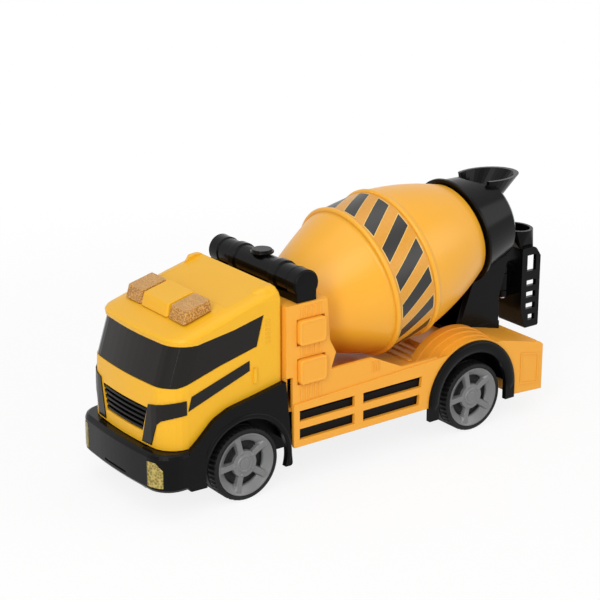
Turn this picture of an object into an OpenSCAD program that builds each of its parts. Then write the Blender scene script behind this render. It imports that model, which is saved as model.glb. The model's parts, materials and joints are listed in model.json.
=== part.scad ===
// Toy cement mixer truck, built from separate moulded, metal and electrical pieces.
// The front of the truck is +X, its left side is +Y and the floor is z = 0.
// The origin lies on the floor, midway along the whole truck and on the centre plane.

/* [Truck] */
// Distance between the two axles
wheel_base = 150; // [140:1:182]
// Width of the body across its skirts
body_w = 80; // [76:1:98]
// Height of the belly above the floor
belly_z = 12; // [10:0.5:14]
// Wall of the moulded shells
wall = 2; // [1.6:0.1:2.4]
// Gap between pieces that are fixed to each other
fix_gap = 0.15; // [0.1:0.01:0.25]
// Gap between pieces that move past each other
run_gap = 0.35; // [0.3:0.01:0.5]

/* [Wheels] */
// Outer diameter of a tyre
tyre_d = 38.5; // [35:0.5:41]
// Outer diameter of a rim
rim_d = 33; // [29:0.5:33.5]
// Width of a wheel
wheel_w = 18; // [14:0.5:19]
// Diameter of the steel axles
axle_d = 3; // [2.5:0.1:4]
// Radial gap between an axle and its bore
axle_gap = 0.06; // [0.03:0.01:0.1]
// Number of spokes in a rim
spokes = 5; // [4:1:7]

/* [Cab] */
// Height of the roof at the back of the cab
roof_z = 108; // [104:1:114]
// Fall of the roof towards the front, per millimetre
roof_fall = 0.287; // [0.2:0.001:0.3]
// How far the cab sides stand in from the skirts
cab_inset = 3; // [2:0.1:4]

/* [Tower] */
// Length of the tower behind the cab
tower_l = 25.6; // [24:0.1:28]
// Height of the tower roof
tower_z = 97; // [95:0.5:100]
// Width of the push buttons
button_w = 16.8; // [14:0.1:18]
// Height of the push buttons
button_h = 13.4; // [11:0.1:14]
// How far a push button stands proud
button_proud = 2.7; // [2:0.1:3.5]
// Travel of a push button
button_travel = 1.5; // [1:0.1:1.8]
// Diameter of the water tank
tank_d = 14; // [12:0.5:15]

/* [Drum] */
// Diameter over the two lips of the drum
drum_d = 85; // [76:0.5:85]
// Tilt of the drum axis above the floor
drum_tilt = 11.7; // [9:0.1:13]
// Distance between the two lips
belt_w = 27; // [22:0.5:32]
// Length of the rear cone
cone_l = 46.5; // [40:0.5:50]
// Radius of the mouth neck
neck_r = 17; // [14:0.5:19]
// Diameter of the front spindle
spindle_d = 5; // [4:0.1:6]

/* [Chute] */
// Width of the discharge chute
chute_w = 21.4; // [17:0.1:24]
// Length of the discharge chute
chute_l = 45; // [38:0.5:46]
// Depth of the chute sides
chute_d = 14; // [11:0.1:16]
// Diameter of the swivel pin
chute_pin_d = 4; // [3:0.1:5]

/* [Electrics] */
// Diameter of a battery cell
cell_d = 14.5; // [10.5:0.1:14.5]
// Length of a battery cell
cell_l = 50.5; // [44:0.5:50.5]
// Diameter of the loudspeaker
speaker_d = 27; // [20:0.5:28]
// Travel of the power switch
switch_travel = 4; // [2:0.5:5]

/* [Hidden] */
$fn = 64;
eps = 0.01;
big = 400;

yellow = [0.94, 0.70, 0.16];
bed_yellow = [0.98, 0.71, 0.22];
black = [0.10, 0.10, 0.10];
silver = [0.60, 0.60, 0.60];
amber = [0.78, 0.48, 0.20];
steel = [0.75, 0.75, 0.77];
board_green = [0.10, 0.40, 0.22];

// Truck
hw = body_w / 2;
// Reach of the nose ahead of the front axle, and of tail and chute behind the rear axle
nose_reach = 52.3;
tail_reach = 50.6;
swivel_reach = 4.2;
ear_reach = 5.6;
shift = (tail_reach + swivel_reach + ear_reach + chute_d - nose_reach) / 2;
front_x = shift + wheel_base / 2;
rear_x = shift - wheel_base / 2;
axle_z = tyre_d / 2;
wheel_in = hw - wheel_w;
keel_hw = wheel_in - 2.4;
keel_top = 34;
nose_x = front_x + nose_reach + 0.7;
tail_x = rear_x - tail_reach;
pedestal_hw = 13;

// Front arch, cab and bumper
arch_r = tyre_d / 2 + 5.25;
liner_w = 1.4;
cab_hw = hw - cab_inset;
cab_rear = front_x - 24;
cab_base = 35.3;
cab_nose = front_x + 47.6;
screen_foot = front_x + 46.7;
screen_z = 67.2;
screen_head = front_x + 40;
visor_x = front_x + 41.3;
visor_z = 87.6;
glass_top = 97;
roof_ref = cab_rear + 6;
panel_sink = 1.2;
bumper_hw = hw + 0.5;
bumper_top = cab_base - 0.3;
bumper_base = belly_z + 3.4;
bumper_wall = 2.4;
cab_plan_r = 13;
web_z = 40;
web_t = 2;

// Bed and tower
skirt_base = 20.6;
groove_z = 44.2;
wall_hw = hw - 0.8;
bed_front = front_x - 29;
tower_front = cab_rear - 0.8;
tower_rear = tower_front - tower_l;
floor_top = 42;
deck_z = 45;
pedestal_z = floor_top - 0.35;
rear_arch_x = rear_x + 1.5;
rear_arch_z = axle_z + 2.25;
rear_arch_in = arch_r - 0.4;
rear_arch_out = rear_arch_in + 6.4;
fender_r = rear_arch_out + 1.1;
fender_steps = 4;
fender_rise = 0.65;
skirt_rear = rear_arch_x + rear_arch_out;
deck_rear = rear_arch_x + fender_r + fender_rise * fender_steps + 0.4;

// Drum, in its own frame: z runs back along the axis from the front lip
drum_x = rear_x + 55.9;
drum_z = 85.9;
lip_r = drum_d / 2;
belt_r = lip_r - 1.4;
drum_wall = 1.8;
bowl_front = (drum_x - tower_rear + 5.6) / cos(drum_tilt);
bowl_front_r = lip_r - 18.4;
cone_end = belt_w + cone_l;
cone_end_r = lip_r - 14.6;
collar_front = cone_end + 0.7;
collar_l = 26;
collar_r = cone_end_r + 1.2;
collar_end_r = collar_r - 4.6;
drum_gap = 1.2;
spindle_end = bowl_front - 9.5;

// Chute
swivel_x = tail_x - swivel_reach;
chute_front = swivel_x - ear_reach;
chute_top = 82;
hinge_z = 60;
hinge_h = 10;
ear_h = 3.6;
cup_z = 95;

// Screws
boss_r = 3.6;
well_r = 4.4;
well_top = 28;
screw_r = 1.45;
head_r = 2.8;
screw_l = 10;
cab_screws = [[front_x + 33, 12], [front_x - 13.5, 12]];
bed_screws = [[rear_x + 23, 12], [rear_x - 25, 12]];

// Battery box, switch and loudspeaker, in order along the keel
box_front = front_x - 61;
box_l = cell_l + 4.4;
cell_z = belly_z + wall + 0.8 + cell_d / 2;
door_l = cell_l + 1;
door_w = 2 * cell_d + 3;
switch_reach = switch_travel / 2 + 5.6;
switch_x = box_front + wall + switch_reach + 0.3;
speaker_x = switch_x + switch_reach + 1 + speaker_d / 2;

// ---------- helpers ----------

function unit(v) = v / norm(v);

// Points of the arc that rounds the corner a-b-c
function corner_arc(a, b, c, r, n) =
    let (u = unit(a - b),
         v = unit(c - b),
         half = acos(u * v) / 2,
         centre = b + unit(u + v) * r / sin(half),
         p = b + u * r / tan(half) - centre,
         q = b + v * r / tan(half) - centre,
         start = atan2(p.y, p.x),
         turn = atan2(p.x * q.y - p.y * q.x, p * q))
    [for (i = [0:n]) centre + r * [cos(start + turn * i / n), sin(start + turn * i / n)]];

// An outline with its corners rounded; each corner is [x, y, radius]
function rounded(c, n = 6) =
    [for (i = [0:len(c) - 1])
        let (b = [c[i].x, c[i].y],
             a = c[(i + len(c) - 1) % len(c)],
             d = c[(i + 1) % len(c)])
        each c[i].z == 0 ? [b] : corner_arc([a.x, a.y], b, [d.x, d.y], c[i].z, n)];

// Extrudes an X-Z outline from y0 to y1
module along_y(y0, y1) {
    translate([0, y1, 0]) rotate([90, 0, 0]) linear_extrude(y1 - y0) children();
}

// Extrudes a Y-Z outline from x0 to x1
module along_x(x0, x1) {
    translate([x0, 0, 0]) rotate([90, 0, 90]) linear_extrude(x1 - x0) children();
}

module block(lo, hi) {
    translate(lo) cube(hi - lo);
}

// A cylinder along Y
module rod_y(x, z, r, y0, y1, fn = 96) {
    translate([x, y1, z]) rotate([90, 0, 0]) cylinder(r = r, h = y1 - y0, $fn = fn);
}

// The children, and their copy on the other side of the truck
module both_sides() {
    children();
    mirror([0, 1, 0]) children();
}

module right_side() {
    mirror([0, 1, 0]) children();
}

module drum_frame() {
    translate([drum_x, 0, drum_z]) rotate([0, drum_tilt - 90, 0]) children();
}

function roof_at(x) = roof_z - (x - roof_ref) * roof_fall;

// ---------- cab ----------

// Plan of the cab: square at the back, bowed at the front, grown by g
function cab_plan(x0, x1, half, r, g = 0) = rounded([
    [x0 - g, -half - g, 2], [x1 - 3.2 + g, -half - g, r + g], [x1 + g, 0, 200],
    [x1 - 3.2 + g, half + g, r + g], [x0 - g, half + g, 2]]);

// One ring of the cab skin at height z
function cab_ring(z, x1, half = cab_hw, r = cab_plan_r, x0 = cab_rear, g = 0) =
    [for (p = cab_plan(x0, x1, half, r, g)) [p.x, p.y, z]];

// Lower front of the cab, from the bumper to the foot of the windscreen
function front_rings(g = 0) = [cab_ring(cab_base, cab_nose, g = g),
    cab_ring(55, cab_nose - 0.3, g = g), cab_ring(screen_z, screen_foot, g = g)];

// The band of the cab that the windows wrap round
function glass_rings(g = 0) =
    let (lean = (screen_foot - screen_head) / (visor_z - screen_z))
    [cab_ring(screen_z, screen_foot, g = g), cab_ring(visor_z, screen_head, g = g),
     cab_ring(glass_top, screen_head - lean * (glass_top - visor_z), g = g)];

function roof_rings() = let (shoulder = roof_z - 7, visor_top = roof_at(visor_x) - 1.2) [
    cab_ring(visor_z + eps, visor_x - 0.4), cab_ring(visor_top, visor_x),
    cab_ring(visor_top + 1.2, visor_x - 1.2), cab_ring(visor_top + 2, visor_x - 3.8),
    cab_ring(shoulder, roof_ref + 7 / roof_fall),
    cab_ring(shoulder + 3.5, roof_ref + 3.4 / roof_fall, cab_hw - 0.5, x0 = cab_rear + 0.8),
    cab_ring(roof_z - 1, roof_ref + 7, cab_hw - 1.7, 4, cab_rear + 2),
    cab_ring(roof_z, roof_ref + 4, cab_hw - 3.6, 1.5, cab_rear + 3)];

// A closed skin through rings that all have the same number of points
module loft(rings) {
    n = len(rings[0]);
    m = len(rings);
    polyhedron([for (r = rings) each r], concat(
        [[for (i = [0:n - 1]) i]],
        [for (k = [0:m - 2]) for (i = [0:n - 1]) let (j = (i + 1) % n)
            each [[k * n + i, (k + 1) * n + i, (k + 1) * n + j],
                  [k * n + i, (k + 1) * n + j, k * n + j]]],
        [[for (i = [0:n - 1]) m * n - 1 - i]]), 4);
}

// Side view of the window band, shrunk by c
module window_outline(c = 0) {
    foot = screen_z + 0.1 + c;
    polygon([[front_x - 13.1 + c, 95.1 - c], [front_x - 8.8 + c, 79.3 + c],
        [front_x + 13.6, 73.9 + c], [front_x + 32.4, 68.3 + c], [front_x + 37, foot],
        [front_x + 60, foot], [front_x + 60, visor_z - c], [front_x + 26, visor_z - c],
        [front_x + 4.6, 90.9 - c]]);
}

// Front view of the grille, grown by c
module grille_outline(c = 0) {
    polygon([[-17 - c, 41.8 - c], [17 + c, 41.8 - c], [21 + c, 55 + c], [-21 - c, 55 + c]]);
}

module cab_cavity() {
    inner = cab_hw - wall - 0.4;
    back = cab_rear + wall + 0.4;
    translate([0, 0, cab_base - 1]) linear_extrude(web_z - cab_base + 1)
        polygon(cab_plan(back, cab_nose - 4, inner, cab_plan_r - 2));
    translate([0, 0, web_z + web_t]) linear_extrude(55 - web_z - web_t)
        polygon(cab_plan(back, cab_nose - 4, inner, cab_plan_r - 2));
    translate([0, 0, 54.9]) linear_extrude(screen_z - 4 - 54.9)
        polygon(cab_plan(back, screen_foot - 3.6, inner, cab_plan_r - 1));
    intersection() {
        translate([0, 0, screen_z - 4.1]) linear_extrude(roof_z)
            polygon(cab_plan(back, screen_head - 2.6, inner, cab_plan_r - 1));
        along_y(-hw, hw) polygon([[back, 50], [back, roof_z - 9.4],
            [back + 5, roof_at(back + 5) - panel_sink - wall - 0.6],
            [screen_head, roof_at(screen_head) - panel_sink - wall - 0.6], [screen_head, 50]]);
    }
}

module cab_shell() {
    color(yellow) {
        difference() {
            loft(concat(front_rings(), [glass_rings()[1]], roof_rings()));
            cab_cavity();
            along_y(-hw, hw) window_outline();
            // Opening behind the grille
            along_x(cab_nose - 6, cab_nose + 4) grille_outline(fix_gap);
            // Wheel wells
            both_sides() rod_y(front_x, axle_z, arch_r + liner_w + 0.3, wheel_in - 2, hw);
            // Sunken roof panel, open at the back
            along_y(-cab_hw + 7, cab_hw - 7) polygon([
                [cab_rear - 1, roof_at(cab_rear - 1) - panel_sink],
                [front_x + 5, roof_at(front_x + 5) - panel_sink],
                [front_x + 5, roof_z + 5], [cab_rear - 1, roof_z + 5]]);
            // Floor web between the wheel wells only
            intersection() {
                both_sides() block([cab_rear, wheel_in - 2.4, web_z - 1],
                    [cab_nose, hw, web_z + web_t + 1]);
                translate([0, 0, web_z - 2]) linear_extrude(web_t + 4)
                    polygon(cab_plan(cab_rear + wall + 0.35, cab_nose - 3.95,
                        cab_hw - wall - 0.35, cab_plan_r - 2));
            }
        }
        both_sides() cab_details();
        for (s = cab_screws) both_sides() boss(s);
    }
}

// Door seam rib, handle and pillar vents on one side
module cab_details() {
    block([front_x - 8.2, cab_hw - 0.2, 60.7], [front_x - 6.2, cab_hw + 0.9, 68.6]);
    for (i = [0:5])
        block([front_x - 16.6, cab_hw - 0.8, 80 + i * 2.2],
            [front_x - 13.9, cab_hw + 0.25, 80.9 + i * 2.2]);
}

// Screw boss that hangs from a shell floor
module boss(at) {
    difference() {
        translate([at.x, at.y, well_top + fix_gap])
            cylinder(r = boss_r, h = web_z - well_top + 0.5);
        translate([at.x, at.y, well_top - 1]) cylinder(r = screw_r + 0.05, h = screw_l - 1);
    }
}

module window_band() {
    color(black) intersection() {
        difference() {
            loft(glass_rings(-0.3));
            translate([0, 0, -0.1]) loft([for (r = glass_rings(-2.2))
                [for (p = r) [p.x, p.y, p.z == glass_top ? p.z + 0.2 : p.z]]]);
        }
        along_y(-hw, hw) window_outline(fix_gap);
    }
}

module grille() {
    louvre = 2.64;
    bow = 200;
    color(black) intersection() {
        along_x(cab_nose - 5, cab_nose + 1) grille_outline();
        union() {
            intersection() {
                block([cab_nose - 4.6, -hw, 40], [cab_nose, hw, 57]);
                translate([cab_nose - 3 - bow, 0, 39]) cylinder(r = bow, h = 20, $fn = 360);
            }
            intersection() {
                for (i = [0:4]) along_y(-hw, hw) polygon([[cab_nose - 4, 42 + i * louvre],
                    [cab_nose - 1, 42.3 + i * louvre], [cab_nose - 1, 43.2 + i * louvre],
                    [cab_nose - 4, 44 + i * louvre]]);
                translate([cab_nose - 1.4 - bow, 0, 39]) cylinder(r = bow, h = 20, $fn = 360);
            }
        }
    }
}

// Front view of the L-shaped lamp trim on the left
module trim_outline() {
    foot = cab_base + 1.4;
    polygon([[17.4, foot], [24.8, foot], [28.2, 48], [30.4, 50.4], [hw, 54.4], [hw, 61.4],
        [30, 58.9], [22.4, 57.4]]);
}

module headlamp_trim_left() {
    color(black) intersection() {
        difference() {
            loft(front_rings(0.6));
            loft([for (r = front_rings(0.1))
                [for (p = r) [p.x, p.y, p.z < 40 ? p.z - 1 : p.z > 60 ? p.z + 1 : p.z]]]);
        }
        along_x(front_x + 33, front_x + 60) trim_outline();
    }
}

module headlamp_trim_right() {
    right_side() headlamp_trim_left();
}

module door_stripe_left() {
    color(black) along_y(cab_hw + 0.05, cab_hw + 0.4) polygon([[front_x + 32, 55],
        [front_x + 30, 62.1], [front_x - 4, 73], [front_x - 4, 67.8]]);
}

module door_stripe_right() {
    right_side() door_stripe_left();
}

// ---------- beacon ----------

beacon_front = front_x + 27.5;
beacon_rear = front_x + 10.4;
beacon_rise = 6.4;
beacon_hw = 27.6;
block_hw = 12;
lens_wall = 1.2;

// Side view of the beacon, from foot above the sloping roof to its top, shrunk by c
module beacon_outline(c = 0, foot = 0.1) {
    head = beacon_front - 1.2;
    polygon([[beacon_front - c, roof_at(beacon_front) + foot],
        [head - c, roof_at(head) + beacon_rise - c],
        [beacon_rear + c, roof_at(beacon_rear) + beacon_rise - 1 - c],
        [beacon_rear + c, roof_at(beacon_rear) + foot]]);
}

// The hollow of a beacon piece from y0 to y1 with walls of t, open underneath
module beacon_hollow(y0, y1, t) {
    along_y(y0, y1) beacon_outline(t, -1);
}

module beacon_housing() {
    color(yellow) difference() {
        along_y(-block_hw, block_hw) beacon_outline();
        beacon_hollow(-block_hw + 1.6, block_hw - 1.6, 1.6);
    }
}

module beacon_lens_left() {
    color(amber, 0.8) difference() {
        along_y(block_hw + fix_gap, beacon_hw) beacon_outline();
        beacon_hollow(block_hw + lens_wall, beacon_hw - lens_wall, lens_wall);
    }
}

module beacon_lens_right() {
    right_side() beacon_lens_left();
}

module beacon_leds() {
    led_x = beacon_front - 5;
    color(amber) both_sides()
        translate([led_x, (block_hw + beacon_hw) / 2, roof_at(led_x) + 0.6]) {
            cylinder(r = 1.5, h = 1.2, $fn = 32);
            translate([0, 0, 1.2]) sphere(r = 1.5, $fn = 32);
        }
}

// ---------- bumper and front arches ----------

// Plan of the bumper, grown by g
function bumper_plan(g = 0) = rounded([
    [front_x + 18 - g, -bumper_hw - g, 0.5], [nose_x - 3 + g, -bumper_hw - g, 13 + g],
    [nose_x + g, 0, 260], [nose_x - 3 + g, bumper_hw + g, 13 + g],
    [front_x + 18 - g, bumper_hw + g, 0.5]], 8);

// Side view of the panel between the door and the wheel, before the wheel arch is cut
module arch_panel_outline() {
    polygon(rounded([[front_x - 23.8, 58.4, 0.5], [front_x - 3, 54.2, 30],
        [front_x + 9.7, 51.9, 20], [front_x + 18.6, 48, 14], [front_x + 27.5, 39.7, 4],
        [front_x + 34, bumper_top - 0.5, 2], [front_x + 34, 14, 1], [front_x - 28, belly_z, 1.5],
        [front_x - 25.6, 40, 30]], 5));
}

// One ring of the bumper skin at height z, grown by g
function bumper_ring(z, g = 0) = [for (p = bumper_plan(g)) [p.x, p.y, z]];

// The space that a fog lamp fills, grown by c: its upper outer corner is cut off
module fog_box(c = 0) {
    along_x(nose_x - 18, nose_x + 2) polygon([[28.4 - c, 17.8 - c], [36.6 + c, 17.8 - c],
        [36.6 + c, 27.4], [33.4, 31 + c], [28.4 - c, 31 + c]]);
}

module bumper() {
    color(black) difference() {
        union() {
            difference() {
                loft([bumper_ring(bumper_base, -1), bumper_ring(bumper_base + 1.4),
                    bumper_ring(bumper_top - 2.2), bumper_ring(bumper_top - 0.7, -0.6),
                    bumper_ring(bumper_top, -1.8)]);
                translate([0, 0, bumper_base - 1])
                    linear_extrude(bumper_top - bumper_base - 1.4)
                    polygon(bumper_plan(-bumper_wall));
                // The ledge leaves room for the cab's screw bosses
                block([front_x + 10, -wheel_in + 4, 30], [front_x + 40, wheel_in - 4, 40]);
                both_sides() fog_box(fix_gap);
                // Slot low in the middle
                block([nose_x - 1.4, -10, 18.2], [nose_x + 1, 10, 19.4]);
            }
            both_sides() {
                along_y(cab_hw + 0.4, bumper_hw - 0.05) arch_panel_outline();
                // Wheel well liner
                intersection() {
                    rod_y(front_x, axle_z, arch_r + liner_w, wheel_in - 1.6, cab_hw + 0.5);
                    block([front_x - 30, 0, keel_top + 0.4], [front_x + 30, hw, 60]);
                }
            }
        }
        // Wheel space
        both_sides() {
            rod_y(front_x, axle_z, arch_r, wheel_in - 0.4, hw + 2);
            block([front_x - arch_r + 1.3, wheel_in - 0.4, -1], [front_x + arch_r - 2.6, hw + 2,
                axle_z - 0.5]);
        }
        // The bar and its ledge stay clear of the keel
        block([front_x, -wheel_in + 0.4, belly_z - 1], [nose_x - 6, wheel_in - 0.4, big]);
    }
}

module fog_lamp_left() {
    color(amber) intersection() {
        fog_box();
        difference() {
            translate([0, 0, 15]) linear_extrude(20) polygon(bumper_plan(0.2));
            translate([0, 0, 14]) linear_extrude(22) polygon(bumper_plan(-2));
        }
    }
}

module fog_lamp_right() {
    right_side() fog_lamp_left();
}

// ---------- chassis ----------

module chassis() {
    color(black) difference() {
        union() {
            // Keel tray
            difference() {
                block([tail_x + 6, -keel_hw, belly_z], [nose_x - 6.4, keel_hw, keel_top]);
                block([tail_x + 6 + wall, -keel_hw + wall, belly_z + wall],
                    [nose_x - 6.4 - wall, keel_hw - wall, big]);
            }
            // Side decks and the dark panels behind the skirts
            both_sides() {
                block([deck_rear, keel_hw - 1, skirt_base], [bed_front - 2.6, wall_hw - 1.8,
                    skirt_base + wall]);
                block([deck_rear, hw - 2 - fix_gap - 1.6, skirt_base],
                    [bed_front - 2.6, hw - 2 - fix_gap, groove_z - 6]);
                for (x = [front_x - 46, front_x - 57, front_x - 70])
                    block([x - 2, hw - 6, skirt_base - 1], [x + 2, hw - 2.4, skirt_base + 0.5]);
            }
            // Battery box ends
            for (x = [box_front, box_front - box_l - wall])
                block([x, -keel_hw + 1, belly_z + 1], [x + wall, keel_hw - 1, cell_z + cell_d / 2]);
            for (x = [front_x, rear_x]) both_sides()
                rod_y(x, axle_z, axle_d / 2 + 2, keel_hw - wall - 2, wheel_in - 0.5);
            for (s = concat(cab_screws, bed_screws)) both_sides()
                translate([s.x, s.y, belly_z]) cylinder(r = well_r, h = well_top - belly_z);
        }
        for (x = [front_x, rear_x])
            rod_y(x, axle_z, axle_d / 2 + axle_gap, -hw, hw, 48);
        for (s = concat(cab_screws, bed_screws)) both_sides() {
            translate([s.x, s.y, belly_z - 1]) cylinder(r = head_r + 0.4, h = well_top - belly_z - 1);
            translate([s.x, s.y, belly_z]) cylinder(r = screw_r + 0.15, h = well_top);
        }
        // Battery opening, with a rebate for the door
        door_opening();
        // Sound holes under the loudspeaker
        for (i = [-2:2]) for (j = [-2:2])
            if (i * i + j * j < 6) translate([speaker_x + i * 4, j * 4, belly_z - 1])
                cylinder(r = 0.9, h = wall + 2, $fn = 24);
        // Slot for the power switch
        block([switch_x - switch_travel / 2 - 2.4, -1.9, belly_z - 1],
            [switch_x + switch_travel / 2 + 2.4, 1.9, belly_z + wall + 1]);
    }
}

module door_opening() {
    mid = box_front - box_l / 2;
    block([mid - door_l / 2 + 2, -door_w / 2 + 1.6, belly_z - 1],
        [mid + door_l / 2 - 2, door_w / 2 - 1.6, belly_z + wall + 1]);
    block([mid - door_l / 2, -door_w / 2, belly_z - 1],
        [mid + door_l / 2, door_w / 2, belly_z + 1.2]);
}

module battery_door() {
    mid = box_front - box_l / 2;
    screw_x = mid + door_l / 2 - 5;
    color(black) difference() {
        union() {
            block([mid - door_l / 2 + 0.2, -door_w / 2 + 0.2, belly_z],
                [mid + door_l / 2 - 0.2, door_w / 2 - 0.2, belly_z + 1.1]);
            block([mid - door_l / 2 + 2.2, -door_w / 2 + 1.8, belly_z + 1],
                [mid + door_l / 2 - 2.2, door_w / 2 - 1.8, belly_z + wall]);
        }
        translate([screw_x, 0, belly_z - 1]) cylinder(r = screw_r + 0.1, h = 9);
        translate([screw_x, 0, belly_z - 1]) cylinder(r = head_r + 0.2, h = 2);
        for (i = [0:4]) block([mid - 20 + i * 2, -6, belly_z - 1],
            [mid - 19.2 + i * 2, 6, belly_z + 0.4]);
    }
}

module battery_door_screw() {
    mid = box_front - box_l / 2;
    color(steel) translate([mid + door_l / 2 - 5, 0, belly_z - 0.1]) screw(5, 1);
}

// A pan head screw that points up, its head height h
module screw(l, h = 2.2) {
    difference() {
        union() {
            cylinder(r = head_r, h = h);
            translate([0, 0, h - eps]) cylinder(r = screw_r, h = l);
        }
        for (a = [0, 90]) rotate(a) translate([-2, -0.4, -0.1]) cube([4, 0.8, 0.8]);
    }
}

module housing_screws() {
    color(steel) for (s = concat(cab_screws, bed_screws)) both_sides()
        translate([s.x, s.y, well_top - 2 - 2.2]) screw(screw_l);
}

module battery_cells() {
    back = box_front - box_l + 3.4;
    for (i = [-1, 1]) translate([back, i * (cell_d / 2 + 0.15), cell_z]) rotate([0, 90, 0]) {
        color("dimgray") cylinder(r = cell_d / 2 - 0.1, h = cell_l - 1.4);
        color(steel) translate([0, 0, cell_l - 1.4 - eps]) cylinder(r = 2.7, h = 1.4);
    }
}

module battery_contacts() {
    color(steel) {
        for (i = [-1, 1]) {
            block([box_front - 0.6, i * (cell_d / 2 + 0.15) - 5, cell_z - 6],
                [box_front - 0.1, i * (cell_d / 2 + 0.15) + 5, cell_z + 6]);
            block([box_front - box_l + 0.1, i * (cell_d / 2 + 0.15) - 5, cell_z - 6],
                [box_front - box_l + 0.6, i * (cell_d / 2 + 0.15) + 5, cell_z + 6]);
            translate([box_front - box_l + 0.6, i * (cell_d / 2 + 0.15), cell_z]) rotate([0, 90, 0])
                for (k = [0:2]) translate([0, 0, 0.35 + k * 0.9])
                    rotate_extrude($fn = 32) translate([3.8 - k * 0.6, 0]) circle(r = 0.33, $fn = 16);
        }
    }
}

module speaker() {
    color("dimgray") translate([speaker_x, 0, belly_z + wall + fix_gap]) {
        difference() {
            cylinder(r = speaker_d / 2, h = 2.4);
            translate([0, 0, -1]) cylinder(r = speaker_d / 2 - 2, h = 2);
        }
        translate([0, 0, 2.4 - eps]) cylinder(r1 = speaker_d / 2 - 3, r2 = speaker_d / 4, h = 2);
        translate([0, 0, 4.4 - 2 * eps]) cylinder(r = speaker_d / 4 + 1, h = 3);
    }
}

module switch_body() {
    z = belly_z + wall + 1.1;
    color(steel) {
        block([switch_x - switch_reach, -4, z], [switch_x + switch_reach, 4, z + 4.6]);
        // Feet on both ends
        for (x = [switch_x - switch_reach, switch_x + switch_reach - 1])
            block([x, -4, belly_z + wall + fix_gap], [x + 1, 4, z + eps]);
    }
}

module power_switch() {
    z = belly_z + wall + 1.1 - run_gap;
    color(black) {
        block([switch_x - 1.8, -1.5, belly_z + 0.3], [switch_x + 1.8, 1.5, z]);
        block([switch_x - 4, -3, belly_z + wall + 0.3], [switch_x + 4, 3, z]);
    }
}

// ---------- bed with tower, skirts, rear fenders and tail ----------

// Side view of the tower, shrunk by c
module tower_outline(c = 0) {
    polygon([[tower_front - c, floor_top - 2], [tower_front - c, tower_z - c],
        [tower_rear + c, tower_z - c], [tower_rear - 1.7 + c, 74], [tower_rear - 5.6 + c, 66.6],
        [tower_rear - 3.1 + c, 59.8], [tower_rear - 2 + c, floor_top - 2]]);
}

// Side view of the low wall beside the drum
module bed_wall_outline() {
    polygon([[tower_front, groove_z], [tower_front, 58], [tower_front - 55.2, 58],
        [tower_front - 75.2, 48.5], [rear_arch_x + rear_arch_out - 6, 48.5],
        [rear_arch_x + rear_arch_out - 6, groove_z]]);
}

module skirt_outline() {
    polygon([[bed_front - 0.4, skirt_base], [bed_front, skirt_base + 1], [bed_front, groove_z],
        [rear_arch_x + 8, groove_z + 4], [rear_arch_x + 8, skirt_base], [skirt_rear, skirt_base]]);
}

// The four slots in one skirt: front pair straight, rear pair with a slanted end
module skirt_slots() {
    split = front_x - 70.5;
    for (z = [24.4, 34.3]) {
        translate([split + 2.7, z]) square([bed_front - 3.6 - split - 2.7, 5.9]);
        back = skirt_rear + (z > 30 ? 5.6 : 7);
        polygon([[split - 2.9, z], [split - 2.9, z + 5.9], [back - 0.6, z + 5.9], [back, z]]);
    }
}

module tail_outline(c = 0) {
    polygon([[rear_x - 10, 47.8 - c], [rear_x - 20, 47.8 - c], [tail_x + 1.6, 40.6 - c],
        [tail_x + c, 39 - c], [tail_x + c, belly_z + 0.8], [rear_x - 28, belly_z + 2.2],
        [rear_x - 10, belly_z + 2.2]]);
}

// The solid that the turning drum sweeps, with clearance
module drum_sweep() {
    drum_frame() rotate_extrude() polygon([[0, bowl_front - drum_gap],
        [bowl_front_r + drum_gap, bowl_front - drum_gap], [lip_r + drum_gap, -3],
        [lip_r + drum_gap, belt_w + 3], [cone_end_r + drum_gap, cone_end + 4], [0, cone_end + 4]]);
}

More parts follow.
